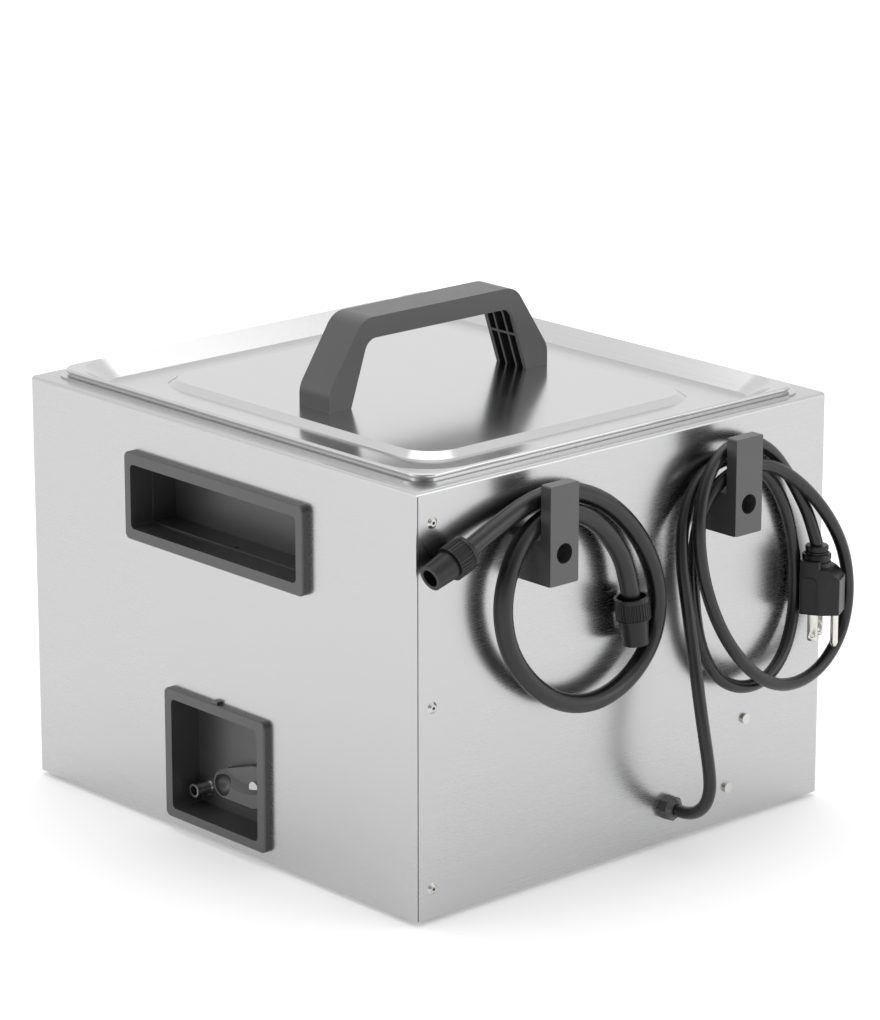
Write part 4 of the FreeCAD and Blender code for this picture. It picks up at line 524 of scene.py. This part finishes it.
# ---------------------------------------------------------------- studio
FLOOR_SIZE = 30.0
FLOOR_DROP = -0.0002                    # just under the feet, so that no faces coincide
SOFTBOXES = (                           # name, place, aim, size, watts
    ("softbox_over", (-0.5, -0.5, 2.8), (0.0, 0.0, 0.2), (2.4, 2.4), 16.0),
    ("softbox_back", (-1.3, 2.4, 0.9), (0.0, 0.1, 0.15), (1.4, 1.6), 9.0),
    ("softbox_side", (2.4, -1.2, 1.0), (0.1, 0.0, 0.15), (1.4, 1.6), 6.0),
)


def add_floor():
    """A white painted floor that glows a little, large enough to reach past every view."""
    bpy.ops.mesh.primitive_plane_add(size=FLOOR_SIZE, location=(0.0, 0.0, FLOOR_DROP))
    floor = bpy.context.object
    floor.name = "studio_floor"
    material, tree, shader = new_material("matt_white_paint", "#F4F4F4", 0.0, 0.9,
                                          Emission_Strength=0.22)
    mottle = stretched_noise(tree, (1.5, 1.5, 1.5), 2.0)
    blend = tint(tree, mottle.outputs["Fac"], "#F2F2F2", "#F6F6F6")
    tree.links.new(blend.outputs["Color"], shader.inputs["Base Color"])
    floor.data.materials.append(material)


def add_light(name, spot, aim, size, power):
    """A soft rectangular light aimed at a point."""
    data = bpy.data.lights.new(name, "AREA")
    data.shape = "RECTANGLE"
    data.size, data.size_y = size
    data.energy = power
    lamp = link(bpy.data.objects.new(name, data))
    lamp.location = spot
    lamp.rotation_euler = (Vector(aim) - Vector(spot)).to_track_quat("-Z", "Y").to_euler()


def light_studio():
    """A white room that is darker on the viewer's side, with three soft boxes."""
    world = bpy.data.worlds.new("studio_room")
    world.use_nodes = True
    tree = world.node_tree
    ground = tree.nodes["Background"]
    ground.inputs["Color"].default_value = linear("#FFFFFF")
    where = add(tree, "ShaderNodeTexCoord")
    side = add(tree, "ShaderNodeVectorMath", {"operation": "DOT_PRODUCT"})
    tree.links.new(where.outputs["Generated"], side.inputs[0])
    side.inputs[1].default_value = (math.sin(VIEW_AZIMUTH), -math.cos(VIEW_AZIMUTH), 0.0)
    shade = add(tree, "ShaderNodeMapRange",
                {"From Min": 0.4, "From Max": 0.95, "To Min": 1.06, "To Max": 0.26},
                {"Value": side.outputs["Value"]})
    tree.links.new(shade.outputs["Result"], ground.inputs["Strength"])
    bpy.context.scene.world = world
    bpy.context.scene.view_settings.view_transform = "Standard"
    for softbox in SOFTBOXES:
        add_light(*softbox)


place_camera()
dress_nodes()
add_cords(fit_pieces())
add_floor()
light_studio()
